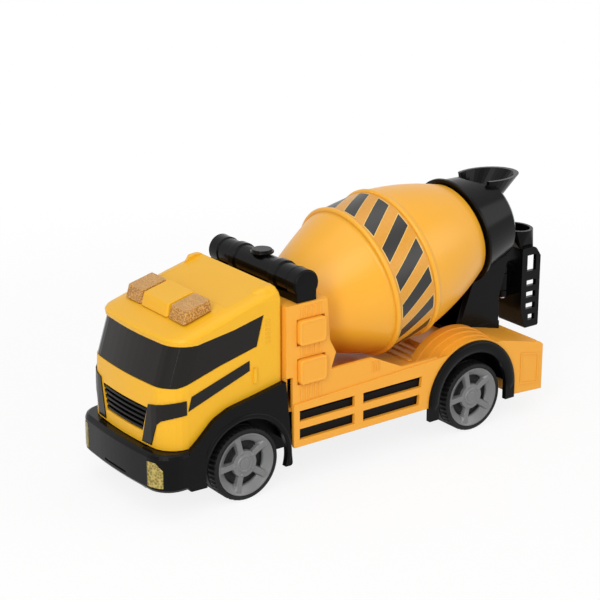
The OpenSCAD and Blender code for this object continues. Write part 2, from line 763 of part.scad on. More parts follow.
module bed() {
    color(bed_yellow) difference() {
        union() {
            // Floor
            block([tail_x + 4, -wall_hw + 1, floor_top - wall], [tower_front, wall_hw - 1, floor_top]);
            // Skirts and low walls
            both_sides() {
                along_y(hw - 2, hw) difference() {
                    skirt_outline();
                    skirt_slots();
                }
                along_y(wall_hw - wall, wall_hw) bed_wall_outline();
            }
            // Tower shell
            difference() {
                along_y(-wall_hw, wall_hw) tower_outline();
                along_y(-wall_hw + wall, wall_hw - wall) tower_outline(wall);
            }
            // Rear fenders, stepped towards the middle
            both_sides() for (i = [0:fender_steps - 1]) {
                step_w = (wheel_w + 3) / fender_steps;
                intersection() {
                    rod_y(rear_arch_x, rear_arch_z, fender_r + fender_rise * i,
                        hw - step_w * (i + 1) - eps, hw - step_w * i);
                    block([rear_arch_x - 60, 0, floor_top - wall], [rear_arch_x + 60, hw, 80]);
                }
            }
            // Tail
            along_y(-hw, hw) tail_outline();
            // Deck between the fenders
            block([rear_x - 32, -wheel_in - 1, floor_top - 1], [rear_x + 14, wheel_in + 1, deck_z]);
            for (i = [0:2]) block([rear_x + 17 + i * 6, -wheel_in, floor_top - 0.5],
                [rear_x + 20 + i * 6, wheel_in, floor_top + 0.8]);
            // Bearing boss for the drum spindle
            drum_frame() translate([0, 0, bowl_front - 8.4])
                cylinder(r = spindle_d / 2 + 3.4, h = 6.9);
            both_sides() bed_details();
        }
        // Hollow below the floor, behind the fender faces and inside the tail
        tail_hollow();
        // Wheel wells
        both_sides() {
            rod_y(rear_arch_x, rear_arch_z, rear_arch_in + fix_gap, hw - 1.2, hw + 2);
            rod_y(rear_arch_x, rear_arch_z, rear_arch_out - 0.6, wheel_in - 1.8, hw - 1.8);
            rod_y(rear_arch_x, rear_arch_z, rear_arch_out + fix_gap, hw - 1.9, hw + 2);
            block([rear_arch_x - rear_arch_out - fix_gap, wheel_in - 4, -30],
                [rear_arch_x + rear_arch_out + fix_gap, hw + 2, rear_arch_z]);
        }
        // Everything below the fenders and between the wheels belongs to the chassis
        block([rear_x - 35, -wheel_in + 1.79, -1], [deck_rear, wheel_in - 1.79, keel_top + 0.4]);
        block([rear_x - 35, -wheel_in + 3.2, -1], [deck_rear, wheel_in - 3.2, floor_top - wall]);
        drum_sweep();
        // Bearing for the spindle
        drum_frame() translate([0, 0, bowl_front - 20])
            cylinder(r = spindle_d / 2 + axle_gap, h = 30, $fn = 48);
        for (b = button_places) along_y(wall_hw - wall - 4, wall_hw + 1)
            translate(b - [run_gap, run_gap])
                square([button_w + 2 * run_gap, button_h + 2 * run_gap]);
        tank_foot(fix_gap);
        // Seat of the pedestal
        block([rear_x - 42 - fix_gap, -pedestal_hw - fix_gap, pedestal_z - fix_gap],
            [rear_x - 10 + fix_gap, pedestal_hw + fix_gap, 60]);
        // Room for the front arch panels
        both_sides() block([front_x - 28.8, cab_hw + 0.2, -1], [front_x - 20, hw + 2, 59]);
    }
    color(bed_yellow) bed_bosses();
}

// Screw bosses that hang from the floor under the fenders
module bed_bosses() {
    for (s = bed_screws) both_sides() difference() {
        translate([s.x, s.y, well_top + fix_gap]) cylinder(r = boss_r, h = floor_top - well_top - 1);
        translate([s.x, s.y, well_top - 1]) cylinder(r = screw_r + 0.05, h = screw_l - 1);
    }
}

module tail_hollow() {
    along_y(-hw + wall, hw - wall) polygon([[rear_x - 34, 30], [rear_x - 34, floor_top - wall - 2],
        [tail_x + wall + 1.6, 38.4 - wall], [tail_x + wall, 36.5 - wall], [tail_x + wall, -1],
        [rear_x - 34, -1]]);
}

// Corners of the two push buttons, in side view
button_places = [[tower_rear + 1.5, 54.4], [tower_rear + 1.9, 75.2]];

// Ribs of the tower and frames of the low wall and tail, on one side
module bed_details() {
    for (z = [[45.2, 53.4], [69, 74.4], [89.6, 95.4]]) for (i = [0:4])
        block([tower_rear + 4 + i * 2.9, wall_hw - 0.3, z.x], [tower_rear + 5.2 + i * 2.9,
            wall_hw + 0.35, z.y]);
    for (i = [0:3]) block([tower_rear - 34.6 + i * 1.6, wall_hw - 0.3, 50],
        [tower_rear - 33.9 + i * 1.6, wall_hw + 0.3, 56]);
    // Raised frame on the tail side
    along_y(hw - 0.3, hw + 0.4) difference() {
        polygon([[rear_x - 34, 37.5], [tail_x + 3, 35], [tail_x + 3, 17], [rear_x - 34, 18.6]]);
        offset(delta = -1.2)
            polygon([[rear_x - 34, 37.5], [tail_x + 3, 35], [tail_x + 3, 17], [rear_x - 34, 18.6]]);
    }
}

module rear_arch_left() {
    color(black) difference() {
        union() {
            rod_y(rear_arch_x, rear_arch_z, rear_arch_out, hw - 1.6, hw + 1.2);
            block([rear_arch_x - rear_arch_out, hw - 1.6, belly_z + 1],
                [rear_arch_x + rear_arch_out, hw + 1.2, rear_arch_z]);
            // Liner of the wheel well
            rod_y(rear_arch_x, rear_arch_z, rear_arch_out - 0.8, wheel_in - 1.6, hw - 1.5);
        }
        rod_y(rear_arch_x, rear_arch_z, rear_arch_in, hw - 1.7, hw + 3);
        rod_y(rear_arch_x, rear_arch_z, rear_arch_out - 2.2, wheel_in - 0.5, hw - 1.6);
        block([rear_arch_x - rear_arch_in, wheel_in - 3, -30],
            [rear_arch_x + rear_arch_in, hw + 3, rear_arch_z]);
        block([rear_arch_x - 60, wheel_in - 3, -30], [rear_arch_x + 60, hw - 1.6, rear_arch_z]);
        block([rear_arch_x - 60, hw - 2, -30], [rear_arch_x + 60, hw + 3, belly_z + 1]);
        block([rear_arch_x - 60, wheel_in - 3, -30], [rear_arch_x + 60, wheel_in - 0.4, keel_top + 0.4]);
    }
}

module rear_arch_right() {
    right_side() rear_arch_left();
}

// ---------- water tank ----------

tank_x = front_x - 38.1;
tank_z = tower_z + 0.3 + 8.7;
tank_hw = hw - 1.5;

module tank_foot(c = 0) {
    block([tank_x - 3 - c, -10 - c, tower_z - wall - 1 - c], [tank_x + 3 + c, 10 + c, tower_z + 0.6]);
}

module water_tank() {
    r = tank_d / 2;
    color(black) {
        difference() {
            union() {
                rod_y(tank_x, tank_z, r, -tank_hw, tank_hw);
                block([tank_x - r * 0.86, -tank_hw, tower_z + 0.15],
                    [tank_x + r * 0.86, tank_hw, tank_z - r * 0.5]);
                // Straps and seams
                for (y = [-18, 18]) rod_y(tank_x, tank_z, r + 0.9, y - 2.6, y + 2.6);
                both_sides() rod_y(tank_x, tank_z, r + 0.4, tank_hw - 8, tank_hw - 0.8);
            }
            block([tank_x - r - 2, -hw, tower_z - 9], [tank_x + r + 2, hw, tower_z + 0.15]);
            translate([tank_x, 0, tank_z + r - 3]) cylinder(r = 3.1, h = 10);
        }
        difference() {
            tank_foot();
            block([tank_x - 2, -8, tower_z - wall - 2], [tank_x + 2, 8, tower_z + 0.2]);
        }
    }
}

module tank_cap() {
    r = tank_d / 2;
    color(black) translate([tank_x, 0, tank_z + r]) {
        translate([0, 0, -2.9]) cylinder(r = 3, h = 3.2);
        cylinder(r = 6.2, h = 1);
        cylinder(r = 5.2, h = 2);
    }
}

// ---------- buttons and their electrics ----------

module push_button(at) {
    color(bed_yellow) {
        along_y(wall_hw - wall - 1, wall_hw + button_proud) polygon(rounded([
            [at.x, at.y, 2], [at.x + button_w, at.y, 2], [at.x + button_w, at.y + button_h, 2],
            [at.x, at.y + button_h, 2]], 5));
        along_y(wall_hw - wall - 2, wall_hw - wall - 0.3) translate(at - [0, 1])
            square([button_w + 1.2, button_h + 2]);
        mid = at + [button_w / 2, button_h / 2];
        rod_y(mid.x, mid.y, 2, stem_y, wall_hw - wall - 1.5, 32);
    }
}

stem_y = wall_hw - wall - 5;
board_y = stem_y - button_travel - 0.4 - 3.5;

module button_lower() {
    push_button(button_places[0]);
}

module button_upper() {
    push_button(button_places[1]);
}

module tact_switches() {
    color(silver) for (b = button_places) {
        mid = b + [button_w / 2, button_h / 2];
        block([mid.x - 3, board_y + fix_gap, mid.y - 3], [mid.x + 3, board_y + 3.5, mid.y + 3]);
    }
}

module sound_board() {
    lo = [tower_rear + 2.6, board_y - 1.6, 50];
    hi = [tower_front - wall - 0.3, board_y, 90];
    color(board_green) block(lo, hi);
    color(black) block([lo.x + 5, board_y - 3.4, 62], [lo.x + 13, board_y - 1.5, 70]);
    // Ledges that the board rests on belong to the board carrier
    color(board_green) block([lo.x, board_y - 1.6, floor_top + 0.2], [lo.x + 3, board_y, 50.1]);
}

// ---------- drum ----------

module lip(s) {
    translate([0, 0, s]) rotate_extrude($fn = 128)
        translate([lip_r - 1.2, 0]) circle(r = 1.2, $fn = 24);
}

// Outline of the drum bowl and belt, in radius and distance along the axis
module bowl_outline(c = 0) {
    polygon([[0, bowl_front + c], [bowl_front_r - 3, bowl_front + c],
        [bowl_front_r - c, bowl_front + 2.6 + c / 2], [lip_r - 4.2 - c, -8], [lip_r - 1.6 - c, -2],
        [belt_r - 0.2 - c, 0], [belt_r - 0.2 - c, belt_w - 0.3], [0, belt_w - 0.3]]);
}

module drum_bowl() {
    color(yellow) drum_frame() {
        difference() {
            union() {
                rotate_extrude($fn = 128) bowl_outline();
                lip(0);
            }
            rotate_extrude($fn = 128) difference() {
                bowl_outline(drum_wall);
                translate([0, bowl_front - 1]) square([spindle_d / 2 + 3.4, 10]);
            }
            translate([0, 0, belt_w - 1]) cylinder(r = belt_r - drum_wall - 0.2, h = 3, $fn = 128);
            translate([0, 0, bowl_front - 5]) cylinder(r = spindle_d / 2 + 0.05, h = 13, $fn = 48);
        }
    }
}

module drum_label() {
    color(amber) drum_frame() difference() {
        translate([0, 0, 1.6]) cylinder(r = belt_r + 0.15, h = belt_w - 3.4, $fn = 128);
        translate([0, 0, 1]) cylinder(r = belt_r - 0.1, h = belt_w, $fn = 128);
    }
}

// Outline of the rear cone, slightly swollen
module cone_outline(c = 0) {
    steps = 6;
    swell = 1.6;
    polygon(concat([[0, belt_w]],
        [for (i = [0:steps]) let (t = i / steps)
            [lip_r - 0.9 - c + t * (cone_end_r - lip_r + 0.9) + swell * 4 * t * (1 - t),
             belt_w + t * cone_l]],
        [[0, cone_end]]));
}

module drum_cone() {
    color(yellow) drum_frame() difference() {
        union() {
            rotate_extrude($fn = 128) cone_outline();
            lip(belt_w);
            // Spigot that plugs into the belt
            translate([0, 0, belt_w - 4])
                cylinder(r = belt_r - drum_wall - 0.2 - fix_gap, h = 5, $fn = 128);
            translate([0, 0, cone_end - 1]) cylinder(r = neck_r, h = 10, $fn = 96);
        }
        intersection() {
            rotate_extrude($fn = 128) cone_outline(drum_wall);
            translate([0, 0, belt_w + 1.5]) cylinder(r = lip_r, h = cone_l - 1.5 - drum_wall);
        }
        translate([0, 0, belt_w - 5]) cylinder(r = belt_r - drum_wall * 2 - 0.4, h = 7, $fn = 128);
        cylinder(r = neck_r - drum_wall, h = 120, $fn = 96);
        // Room for the rear edge of the belt, round the spigot
        rotate_extrude($fn = 128) translate([belt_r - drum_wall - 0.2 - fix_gap, belt_w - 3])
            square([drum_wall + 2 * fix_gap, 3 - fix_gap]);
    }
}

module drum_spindle() {
    color(steel) drum_frame() {
        translate([0, 0, spindle_end])
            cylinder(r = spindle_d / 2, h = bowl_front + 6 - spindle_end, $fn = 48);
        translate([0, 0, spindle_end - 1.4]) cylinder(r = spindle_d / 2 + 1.6, h = 1.4, $fn = 48);
    }
}

// ---------- collar with hopper, pedestal and chute ----------

// The outside of the collar in radius and distance along the axis, shrunk by c
module collar_outline(c = 0) {
    end = collar_front + collar_l;
    polygon([[0, collar_front], [collar_r + 1.4 - c, collar_front],
        [collar_r + 1.4 - c, collar_front + 1.4], [collar_r - c, collar_front + 2.4],
        [collar_end_r - c, end - 2 - c], [collar_end_r - 2 - c, end - c], [0, end - c]]);
}

hopper_x = drum_x - (collar_front + 16) * cos(drum_tilt);
hopper_z = drum_z + (collar_front + 14) * sin(drum_tilt) + collar_r - 3.3;

// The hopper scoop, from an oval throat to a wide mouth, grown by g
module hopper_form(g = 0) {
    hull() {
        translate([hopper_x - 2.6, 0, hopper_z - 14]) scale([1.1, 1, 1])
            cylinder(r = 10 + g, h = eps, $fn = 32);
        translate([hopper_x - 8, 0, g < 0 ? hopper_z + 1 : hopper_z]) scale([1.33, 1, 1])
            cylinder(r = 15 + g, h = eps, $fn = 32);
    }
}

module collar_hopper() {
    bearing = neck_r + run_gap;
    inner_end = collar_front + collar_l - 2;
    color(black) difference() {
        union() {
            drum_frame() rotate_extrude($fn = 96) collar_outline();
            difference() {
                hopper_form();
                block([hopper_x + 1.5, -big, 100], [big, big, big]);
            }
            // Tongue that stands in the pedestal
            block([swivel_x + 6, -7, 72], [swivel_x + 16, 7, 90]);
        }
        drum_frame() {
            // Hollow on both sides of the bearing ring
            rotate_extrude($fn = 96) polygon([[0, collar_front - 1], [cone_end_r - 3, collar_front - 1],
                [cone_end_r - 3, collar_front + 1.6], [bearing, collar_front + 1.6],
                [bearing, collar_front + 4.4], [collar_r - 3, collar_front + 4.4],
                [collar_end_r - 2, inner_end], [0, inner_end]]);
        }
        hopper_form(-1.6);
        // Outlet in the back, above the chute
        block([tail_x - 12, -8, 86], [tail_x + 10, 8, 98]);
    }
}

module rear_pedestal() {
    back = rear_x - 42;
    color(black) difference() {
        union() {
            both_sides() along_y(pedestal_hw - 4, pedestal_hw - 0.4) polygon([
                [rear_x - 10.4, pedestal_z + 1], [back + 0.4, pedestal_z + 1], [back + 0.4, 62],
                [tail_x + 3, 84], [rear_x - 30, 88], [rear_x - 22, 74]]);
            block([back, -pedestal_hw + 1, pedestal_z], [back + 4, pedestal_hw - 1, 74]);
            block([back, -pedestal_hw, pedestal_z], [rear_x - 10, pedestal_hw, deck_z + 2]);
        }
        // Saddle under the collar
        drum_frame() rotate_extrude($fn = 96) polygon([[0, 40],
            [collar_r + 1.4 + fix_gap, collar_front - 3], [collar_r + 1.4 + fix_gap, collar_front + 1.6],
            [collar_r + fix_gap, collar_front + 2.6], [collar_end_r + fix_gap, collar_front + collar_l],
            [0, collar_front + collar_l]]);
        drum_sweep();
        block([swivel_x + 6 - fix_gap, -7 - fix_gap, 72 - fix_gap], [swivel_x + 16 + fix_gap,
            7 + fix_gap, 95]);
    }
}

module chute_bracket() {
    plate_x = rear_x - 42 - fix_gap;
    color(black) difference() {
        union() {
            translate([swivel_x, 0, hinge_z]) cylinder(r = chute_pin_d / 2 + 2.2, h = hinge_h);
            block([swivel_x, -2.4, hinge_z], [plate_x, 2.4, hinge_z + hinge_h]);
            block([plate_x - 2, -8, hinge_z - 3], [plate_x, 8, hinge_z + hinge_h]);
        }
        translate([swivel_x, 0, 40]) cylinder(r = chute_pin_d / 2 + axle_gap, h = 50, $fn = 48);
    }
}

module chute_pin() {
    foot = hinge_z - run_gap - ear_h;
    color(steel) translate([swivel_x, 0, foot]) {
        cylinder(r = chute_pin_d / 2, h = hinge_h + 2 * (ear_h + run_gap), $fn = 48);
        translate([0, 0, -1]) cylinder(r = chute_pin_d / 2 + 1, h = 1, $fn = 48);
    }
}

module chute() {
    back = chute_front - chute_d;
    foot = chute_top - chute_l;
    half = chute_w / 2;
    t = 2.4;
    slant = 3.4;
    color(black) difference() {
        union() {
            // Trough
            difference() {
                along_y(-half, half) polygon(rounded([[chute_front - slant, foot, 1],
                    [back, foot, 1], [back, chute_top - 3, 1], [back + 4, chute_top + 3, 4],
                    [chute_front, chute_top + 3, 1], [chute_front, foot + 12, 12]], 4));
                along_y(-half + t, half - t) polygon([[chute_front - slant - t, foot - 1],
                    [back - 1, foot - 1], [back - 1, big], [chute_front - t, big],
                    [chute_front - t, foot + 12]]);
            }
            // Catch cup above the trough
            difference() {
                hull() {
                    block([back + 4.4, -half + 2, chute_top + 2],
                        [chute_front - 0.4, half - 2, chute_top + 2.1]);
                    translate([back + 10, 0, cup_z - 1]) scale([1, 1.25, 1])
                        cylinder(r = 8.6, h = 1, $fn = 32);
                }
                hull() {
                    block([back + 5.4, -half + 3.6, chute_top + 1.9],
                        [chute_front - 1.6, half - 3.6, chute_top + 2]);
                    translate([back + 10, 0, cup_z]) scale([1, 1.25, 1])
                        cylinder(r = 7, h = 1, $fn = 32);
                }
            }
            // Ears round the swivel pin
            for (z = [hinge_z - run_gap - ear_h, hinge_z + hinge_h + run_gap]) {
                translate([swivel_x, 0, z]) cylinder(r = chute_pin_d / 2 + 2.2, h = ear_h);
                block([chute_front - t, -3.4, z], [swivel_x, 3.4, z + ear_h]);
            }
        }
        // Side openings: one tall one and four slots
        along_y(-half - 1, half + 1) {
            translate([back + 3.4, 71]) square([chute_d - 7.4, 9.4]);
            for (i = [0:3]) translate([back + 3, 41.4 + i * 6.9])
                square([chute_d - 7 - (i == 0 ? 2 : 0), 3.4]);
        }
        translate([swivel_x, 0, 45]) cylinder(r = chute_pin_d / 2 + 0.03, h = 40, $fn = 48);
    }
}

// ---------- wheels ----------

module axle(x) {
    color(steel) rod_y(x, axle_z, axle_d / 2, -hw + 2.2, hw - 2.2, 48);
}

module front_axle() {
    axle(front_x);
}

module rear_axle() {
    axle(rear_x);
}

// Moves a wheel, drawn lying with its outer face up at z = 0, to its axle end
module at_wheel(x, side) {
    translate([x, side * hw, axle_z]) rotate([-side * 90, 0, 0]) children();
}

module tyre() {
    r = tyre_d / 2;
    color(black) rotate_extrude($fn = 96) difference() {
        polygon([[rim_d / 2 + 0.05, -wheel_w + 1], [r - 2, -wheel_w], [r - 0.4, -wheel_w + 1],
            [r, -wheel_w + 2.4], [r, -2.6], [r - 0.5, -1], [r - 1.6, -0.2],
            [rim_d / 2 + 0.6, -0.1], [rim_d / 2 + 0.05, -0.6]]);
        for (z = [-wheel_w / 2 - 2.5, -wheel_w / 2 + 1.5]) translate([r - 0.7, z]) square([2, 1]);
    }
}

module rim() {
    r = rim_d / 2;
    color(silver) difference() {
        union() {
            // Barrel with a wide flat outer ring
            rotate_extrude($fn = 96) polygon([[r - 1.6, -wheel_w + 1.4], [r, -wheel_w + 1.4],
                [r, -0.7], [r - 0.5, -0.2], [r - 2.8, -0.2], [r - 3.6, -1.4], [r - 4.6, -1.4],
                [r - 4.6, -3.4], [r - 1.6, -3.8]]);
            // Dished web and hub
            rotate_extrude($fn = 96) polygon([[0, -3.4], [0, -1.4], [4.4, -1.4], [5, -2], [6.6, -2.2],
                [r - 4, -1.4], [r - 4, -3.4], [6.8, -4], [5, -wheel_w + 1], [0, -wheel_w + 1]]);
            for (i = [0:spokes - 1]) rotate(90 + 180 / spokes + i * 360 / spokes)
                translate([5, -1.5, -3]) cube([r - 9, 3, 2]);
        }
        // Windows between the spokes
        for (i = [0:spokes - 1]) rotate(90 + i * 360 / spokes)
            rotate(-180 / spokes + 14) rotate_extrude(angle = 360 / spokes - 28, $fn = 96)
                polygon([[7.4, -9], [r - 5.2, -9], [r - 5.2, 1], [7.4, 1]]);
        translate([0, 0, -wheel_w - 1]) cylinder(r = axle_d / 2 + 0.03, h = wheel_w - 0.8, $fn = 48);
    }
}

module tyre_front_left() { at_wheel(front_x, 1) tyre(); }
module tyre_front_right() { at_wheel(front_x, -1) tyre(); }
module tyre_rear_left() { at_wheel(rear_x, 1) tyre(); }
module tyre_rear_right() { at_wheel(rear_x, -1) tyre(); }
module rim_front_left() { at_wheel(front_x, 1) rim(); }
module rim_front_right() { at_wheel(front_x, -1) rim(); }
module rim_rear_left() { at_wheel(rear_x, 1) rim(); }
module rim_rear_right() { at_wheel(rear_x, -1) rim(); }

chassis();
battery_door();
battery_door_screw();
battery_cells();
battery_contacts();
housing_screws();
speaker();
switch_body();
power_switch();
bumper();
fog_lamp_left();
fog_lamp_right();
cab_shell();
window_band();
grille();
headlamp_trim_left();
headlamp_trim_right();
door_stripe_left();
door_stripe_right();
beacon_housing();
beacon_lens_left();
beacon_lens_right();
beacon_leds();
bed();
rear_arch_left();
rear_arch_right();
water_tank();
tank_cap();
button_upper();
button_lower();
sound_board();
tact_switches();
drum_bowl();
drum_label();
drum_cone();
drum_spindle();
collar_hopper();
rear_pedestal();
chute_bracket();
chute();
chute_pin();
front_axle();
rear_axle();
tyre_front_left();
tyre_front_right();
tyre_rear_left();
tyre_rear_right();
rim_front_left();
rim_front_right();
rim_rear_left();
rim_rear_right();
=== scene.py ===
"""Toy cement mixer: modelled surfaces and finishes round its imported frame.

Lengths in outlines and profiles are millimetres and become metres where a mesh is made.
"""

import json
import math

import bmesh
import bpy
import numpy as np
from bpy.props import FloatProperty, FloatVectorProperty, IntProperty, PointerProperty
from bpy.types import NodeSocket, Operator, Panel, PropertyGroup
from mathutils import Matrix, Vector

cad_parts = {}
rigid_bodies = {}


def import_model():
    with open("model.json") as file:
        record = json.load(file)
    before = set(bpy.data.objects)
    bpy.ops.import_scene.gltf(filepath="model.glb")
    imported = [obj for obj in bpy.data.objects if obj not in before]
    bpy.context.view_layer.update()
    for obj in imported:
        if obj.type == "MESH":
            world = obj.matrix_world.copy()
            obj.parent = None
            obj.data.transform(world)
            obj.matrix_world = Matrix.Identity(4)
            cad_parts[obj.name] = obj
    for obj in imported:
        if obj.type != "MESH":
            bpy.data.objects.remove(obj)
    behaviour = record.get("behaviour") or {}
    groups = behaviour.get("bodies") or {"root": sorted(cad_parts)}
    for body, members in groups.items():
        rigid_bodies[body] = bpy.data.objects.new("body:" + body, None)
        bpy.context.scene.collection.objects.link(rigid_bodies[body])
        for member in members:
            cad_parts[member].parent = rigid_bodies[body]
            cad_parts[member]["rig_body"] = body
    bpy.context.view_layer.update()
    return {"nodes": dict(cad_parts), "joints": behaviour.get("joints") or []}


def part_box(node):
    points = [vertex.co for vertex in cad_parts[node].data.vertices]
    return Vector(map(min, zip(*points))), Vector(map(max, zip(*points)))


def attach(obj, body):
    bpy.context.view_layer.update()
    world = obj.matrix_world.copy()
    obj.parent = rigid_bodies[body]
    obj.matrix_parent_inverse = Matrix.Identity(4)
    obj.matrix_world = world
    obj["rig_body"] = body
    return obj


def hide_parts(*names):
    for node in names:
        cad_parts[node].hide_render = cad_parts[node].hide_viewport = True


bl_info = {
    "name": "Toy Cement Mixer",
    "version": (1, 0, 0),
    "blender": (4, 5, 0),
    "location": "3D View > Sidebar > Mixer",
    "description": "Modelled surfaces, materials and a studio for a toy cement mixer",
    "category": "Object",
}

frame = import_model()

MM = 0.001
TAU = 2 * math.pi

# Angles in degrees: edges that turn by more are rounded, faces that turn by less are merged.
EDGE_ANGLE = 34
FLAT_ANGLE = 1

# The label's bars round the belt, and how far a bar leans across it, in pitches of the bars.
LABEL_BARS = 16
LABEL_SLANT = 0.95

# Strength of the world's light, and how much of the background's white the floor shows near
# the truck and further out, with the distances in metres between which that changes.
AMBIENT = 0.38
NEAR_WHITE, FAR_WHITE = 0.84, 1.0
NEAR, FAR = 0.2, 0.5
FLOOR_REACH = 6.0

# The camera's place in metres, and the direction from the truck back to it.
CAMERA_PLACE = (0.55066, 0.7153, 0.3905)
CAMERA_BACK = (0.5602, 0.7607, 0.3278)

# Each lamp's name, place, target and size in metres, and its power in watts.
LAMPS = (
    ("key", (0.9, 0.9, 1.3), (0, 0, 0.05), (1.2, 1.2), 11.5),
    ("fill", (-1.1, 1.0, 0.7), (0, 0, 0.06), (1.2, 0.8), 5),
    ("top", (0.0, -0.1, 1.5), (0, 0, 0.0), (1.4, 1.0), 5),
    ("strip", (1.05, 0.72, 0.48), (0.1, 0, 0.08), (0.3, 0.8), 5),
)


# ---------- places read from the frame ----------


def node_span(node):
    """Lowest and highest corner of a node in millimetres, as two arrays."""
    lo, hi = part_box(node)
    return np.array(lo) / MM, np.array(hi) / MM


def joint(name):
    """The frame's joint of that name."""
    return next(j for j in frame["joints"] if j["name"] == name)


def axis_frame(origin, axis, up=(0, 1, 0)):
    """A 4x4 placing a shape drawn about Z so that its Z runs along axis from origin."""
    z = Vector(axis).normalized()
    x = Vector(up).cross(z).normalized()
    y = z.cross(x)
    m = Matrix((x, y, z)).transposed().to_4x4()
    m.translation = Vector(origin)
    return m


def drum_matrix():
    """The drum's own frame: Z runs back along the spindle from the front lip."""
    spin = joint("drum_spin")
    return axis_frame(spin["pos_m"], spin["axis"])


# ---------- meshes from grids ----------


def move(points, matrix):
    """The points, in millimetres, placed by a 4x4 and turned into metres."""
    m = np.array(matrix)
    return points * MM @ m[:3, :3].T + m[:3, 3]


def seen_from(matrix, coordinates):
    """Flat coordinates in metres as points in millimetres in a 4x4's own frame."""
    m = np.array(matrix.inverted())
    return (coordinates.reshape(-1, 3) @ m[:3, :3].T + m[:3, 3]) / MM


def grid_faces(rows, columns, wrap_rows=False, wrap_columns=False):
    """Quads of a rows by columns grid of points, as an array of four indices each."""
    i = np.arange(rows if wrap_rows else rows - 1)
    j = np.arange(columns if wrap_columns else columns - 1)
    i, j = np.meshgrid(i, j, indexing="ij")
    row, below = i * columns, (i + 1) % rows * columns
    beside = (j + 1) % columns
    return np.stack([row + j, below + j, below + beside, row + beside], -1).reshape(-1, 4)


def make_mesh(name, points, faces, uv=None):
    """A mesh from an (n, 3) array in metres and quads, with merged poles and outward faces."""
    mesh = bpy.data.meshes.new(name)
    mesh.from_pydata(points.tolist(), [], faces.tolist())
    if uv is not None:
        layer = mesh.uv_layers.new(name="UVMap")
        index = np.empty(len(mesh.loops), np.int32)
        mesh.loops.foreach_get("vertex_index", index)
        layer.data.foreach_set("uv", uv[index].ravel().astype(np.float32))
    work = bmesh.new()
    work.from_mesh(mesh)
    bmesh.ops.remove_doubles(work, verts=work.verts, dist=1e-7)
    bmesh.ops.recalc_face_normals(work, faces=work.faces)
    work.to_mesh(mesh)
    work.free()
    mesh.shade_smooth()
    return mesh


def add_piece(name, mesh, body, material, replaced=()):
    """Links a piece, rides it on its body and lets it stand for CAD nodes."""
    piece = bpy.data.objects.new(name, mesh)
    bpy.context.scene.collection.objects.link(piece)
    mesh.materials.clear()
    mesh.materials.append(material)
    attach(piece, body)
    if replaced:
        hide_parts(*replaced)
    return piece


def sharpen(mesh, angle):
    """Marks edges that turn by more than angle as sharp, and shades the rest smooth."""
    mesh.shade_smooth()
    mesh.set_sharp_from_angle(angle=math.radians(angle))


def soften(node, material, width, segments=2):
    """Replaces a CAD node by a copy with clean faces and edges rounded over a width in mm."""
    source = frame["nodes"][node]
    mesh = source.data.copy()
    mesh.name = node + "_skin"
    work = bmesh.new()
    work.from_mesh(mesh)
    bmesh.ops.remove_doubles(work, verts=work.verts, dist=2e-6)
    bmesh.ops.dissolve_limit(work, angle_limit=math.radians(FLAT_ANGLE), verts=work.verts,
                             edges=work.edges, delimit=set())
    work.to_mesh(mesh)
    work.free()
    sharpen(mesh, EDGE_ANGLE)
    piece = add_piece(node + "_skin", mesh, source["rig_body"], material, [node])
    bevel = piece.modifiers.new("Rounded edges", "BEVEL")
    bevel.width = width * MM
    bevel.segments = segments
    bevel.limit_method = "ANGLE"
    bevel.angle_limit = math.radians(EDGE_ANGLE)
    bevel.use_clamp_overlap = False
    bevel.harden_normals = True
    bevel.miter_outer = "MITER_ARC"


def paint(node, material):
    """Gives a CAD node that keeps its mesh a material."""
    mesh = frame["nodes"][node].data
    mesh.materials.clear()
    mesh.materials.append(material)


def revolve(profile, steps, matrix, warp=None):
    """A closed profile of (radius, height) carried round Z in steps, placed by a matrix.

    Point (i, j) is (r_j cos a_i, r_j sin a_i, h_j), with a_i going once round. warp may
    change the radius and height of each point from its angle.
    """
    a = np.linspace(0, TAU, steps, endpoint=False)[:, None]
    r, h = profile[None, :, 0], profile[None, :, 1]
    r, h = np.broadcast_to(r, (steps, len(profile))), np.broadcast_to(h, (steps, len(profile)))
    if warp:
        r, h = warp(a, r, h)
    points = np.stack([r * np.cos(a), r * np.sin(a), h], -1).reshape(-1, 3)
    return move(points, matrix), grid_faces(steps, len(profile), True, True)


def rounded_box(u0, v0, u1, v1, radius, steps=6):
    """A rectangle's outline, counter-clockwise, with rounded corners.

    Each corner b is the curve (1-t)^2 p + 2t(1-t) b + t^2 q between the points p and q that
    lie a radius before and after it.
    """
    corners = np.array([(u0, v0), (u1, v0), (u1, v1), (u0, v1)], float)
    t = np.linspace(0, 1, steps + 1)[:, None]
    out = []
    for before, b, after in zip(np.roll(corners, 1, 0), corners, np.roll(corners, -1, 0)):
        p = b + (before - b) / np.linalg.norm(before - b) * radius
        q = b + (after - b) / np.linalg.norm(after - b) * radius
        out.append((1 - t) ** 2 * p + 2 * t * (1 - t) * b + t**2 * q)
    return np.concatenate(out)


def inset(outline, by):
    """A counter-clockwise outline moved inward by a distance along its own normals."""
    t = np.roll(outline, -1, 0) - np.roll(outline, 1, 0)
    normal = np.stack([t[:, 1], -t[:, 0]], -1) / np.linalg.norm(t, axis=1, keepdims=True)
    return outline - normal * by


def capped(rings):
    """Closed rings of points, joined in order and closed with a pole at both ends' middles."""
    ends = np.broadcast_to(rings[[0, -1]].mean(1, keepdims=True), (2, *rings.shape[1:]))
    rings = np.concatenate([ends[:1], rings, ends[1:]])
    return rings.reshape(-1, 3), grid_faces(*rings.shape[:2], False, True)


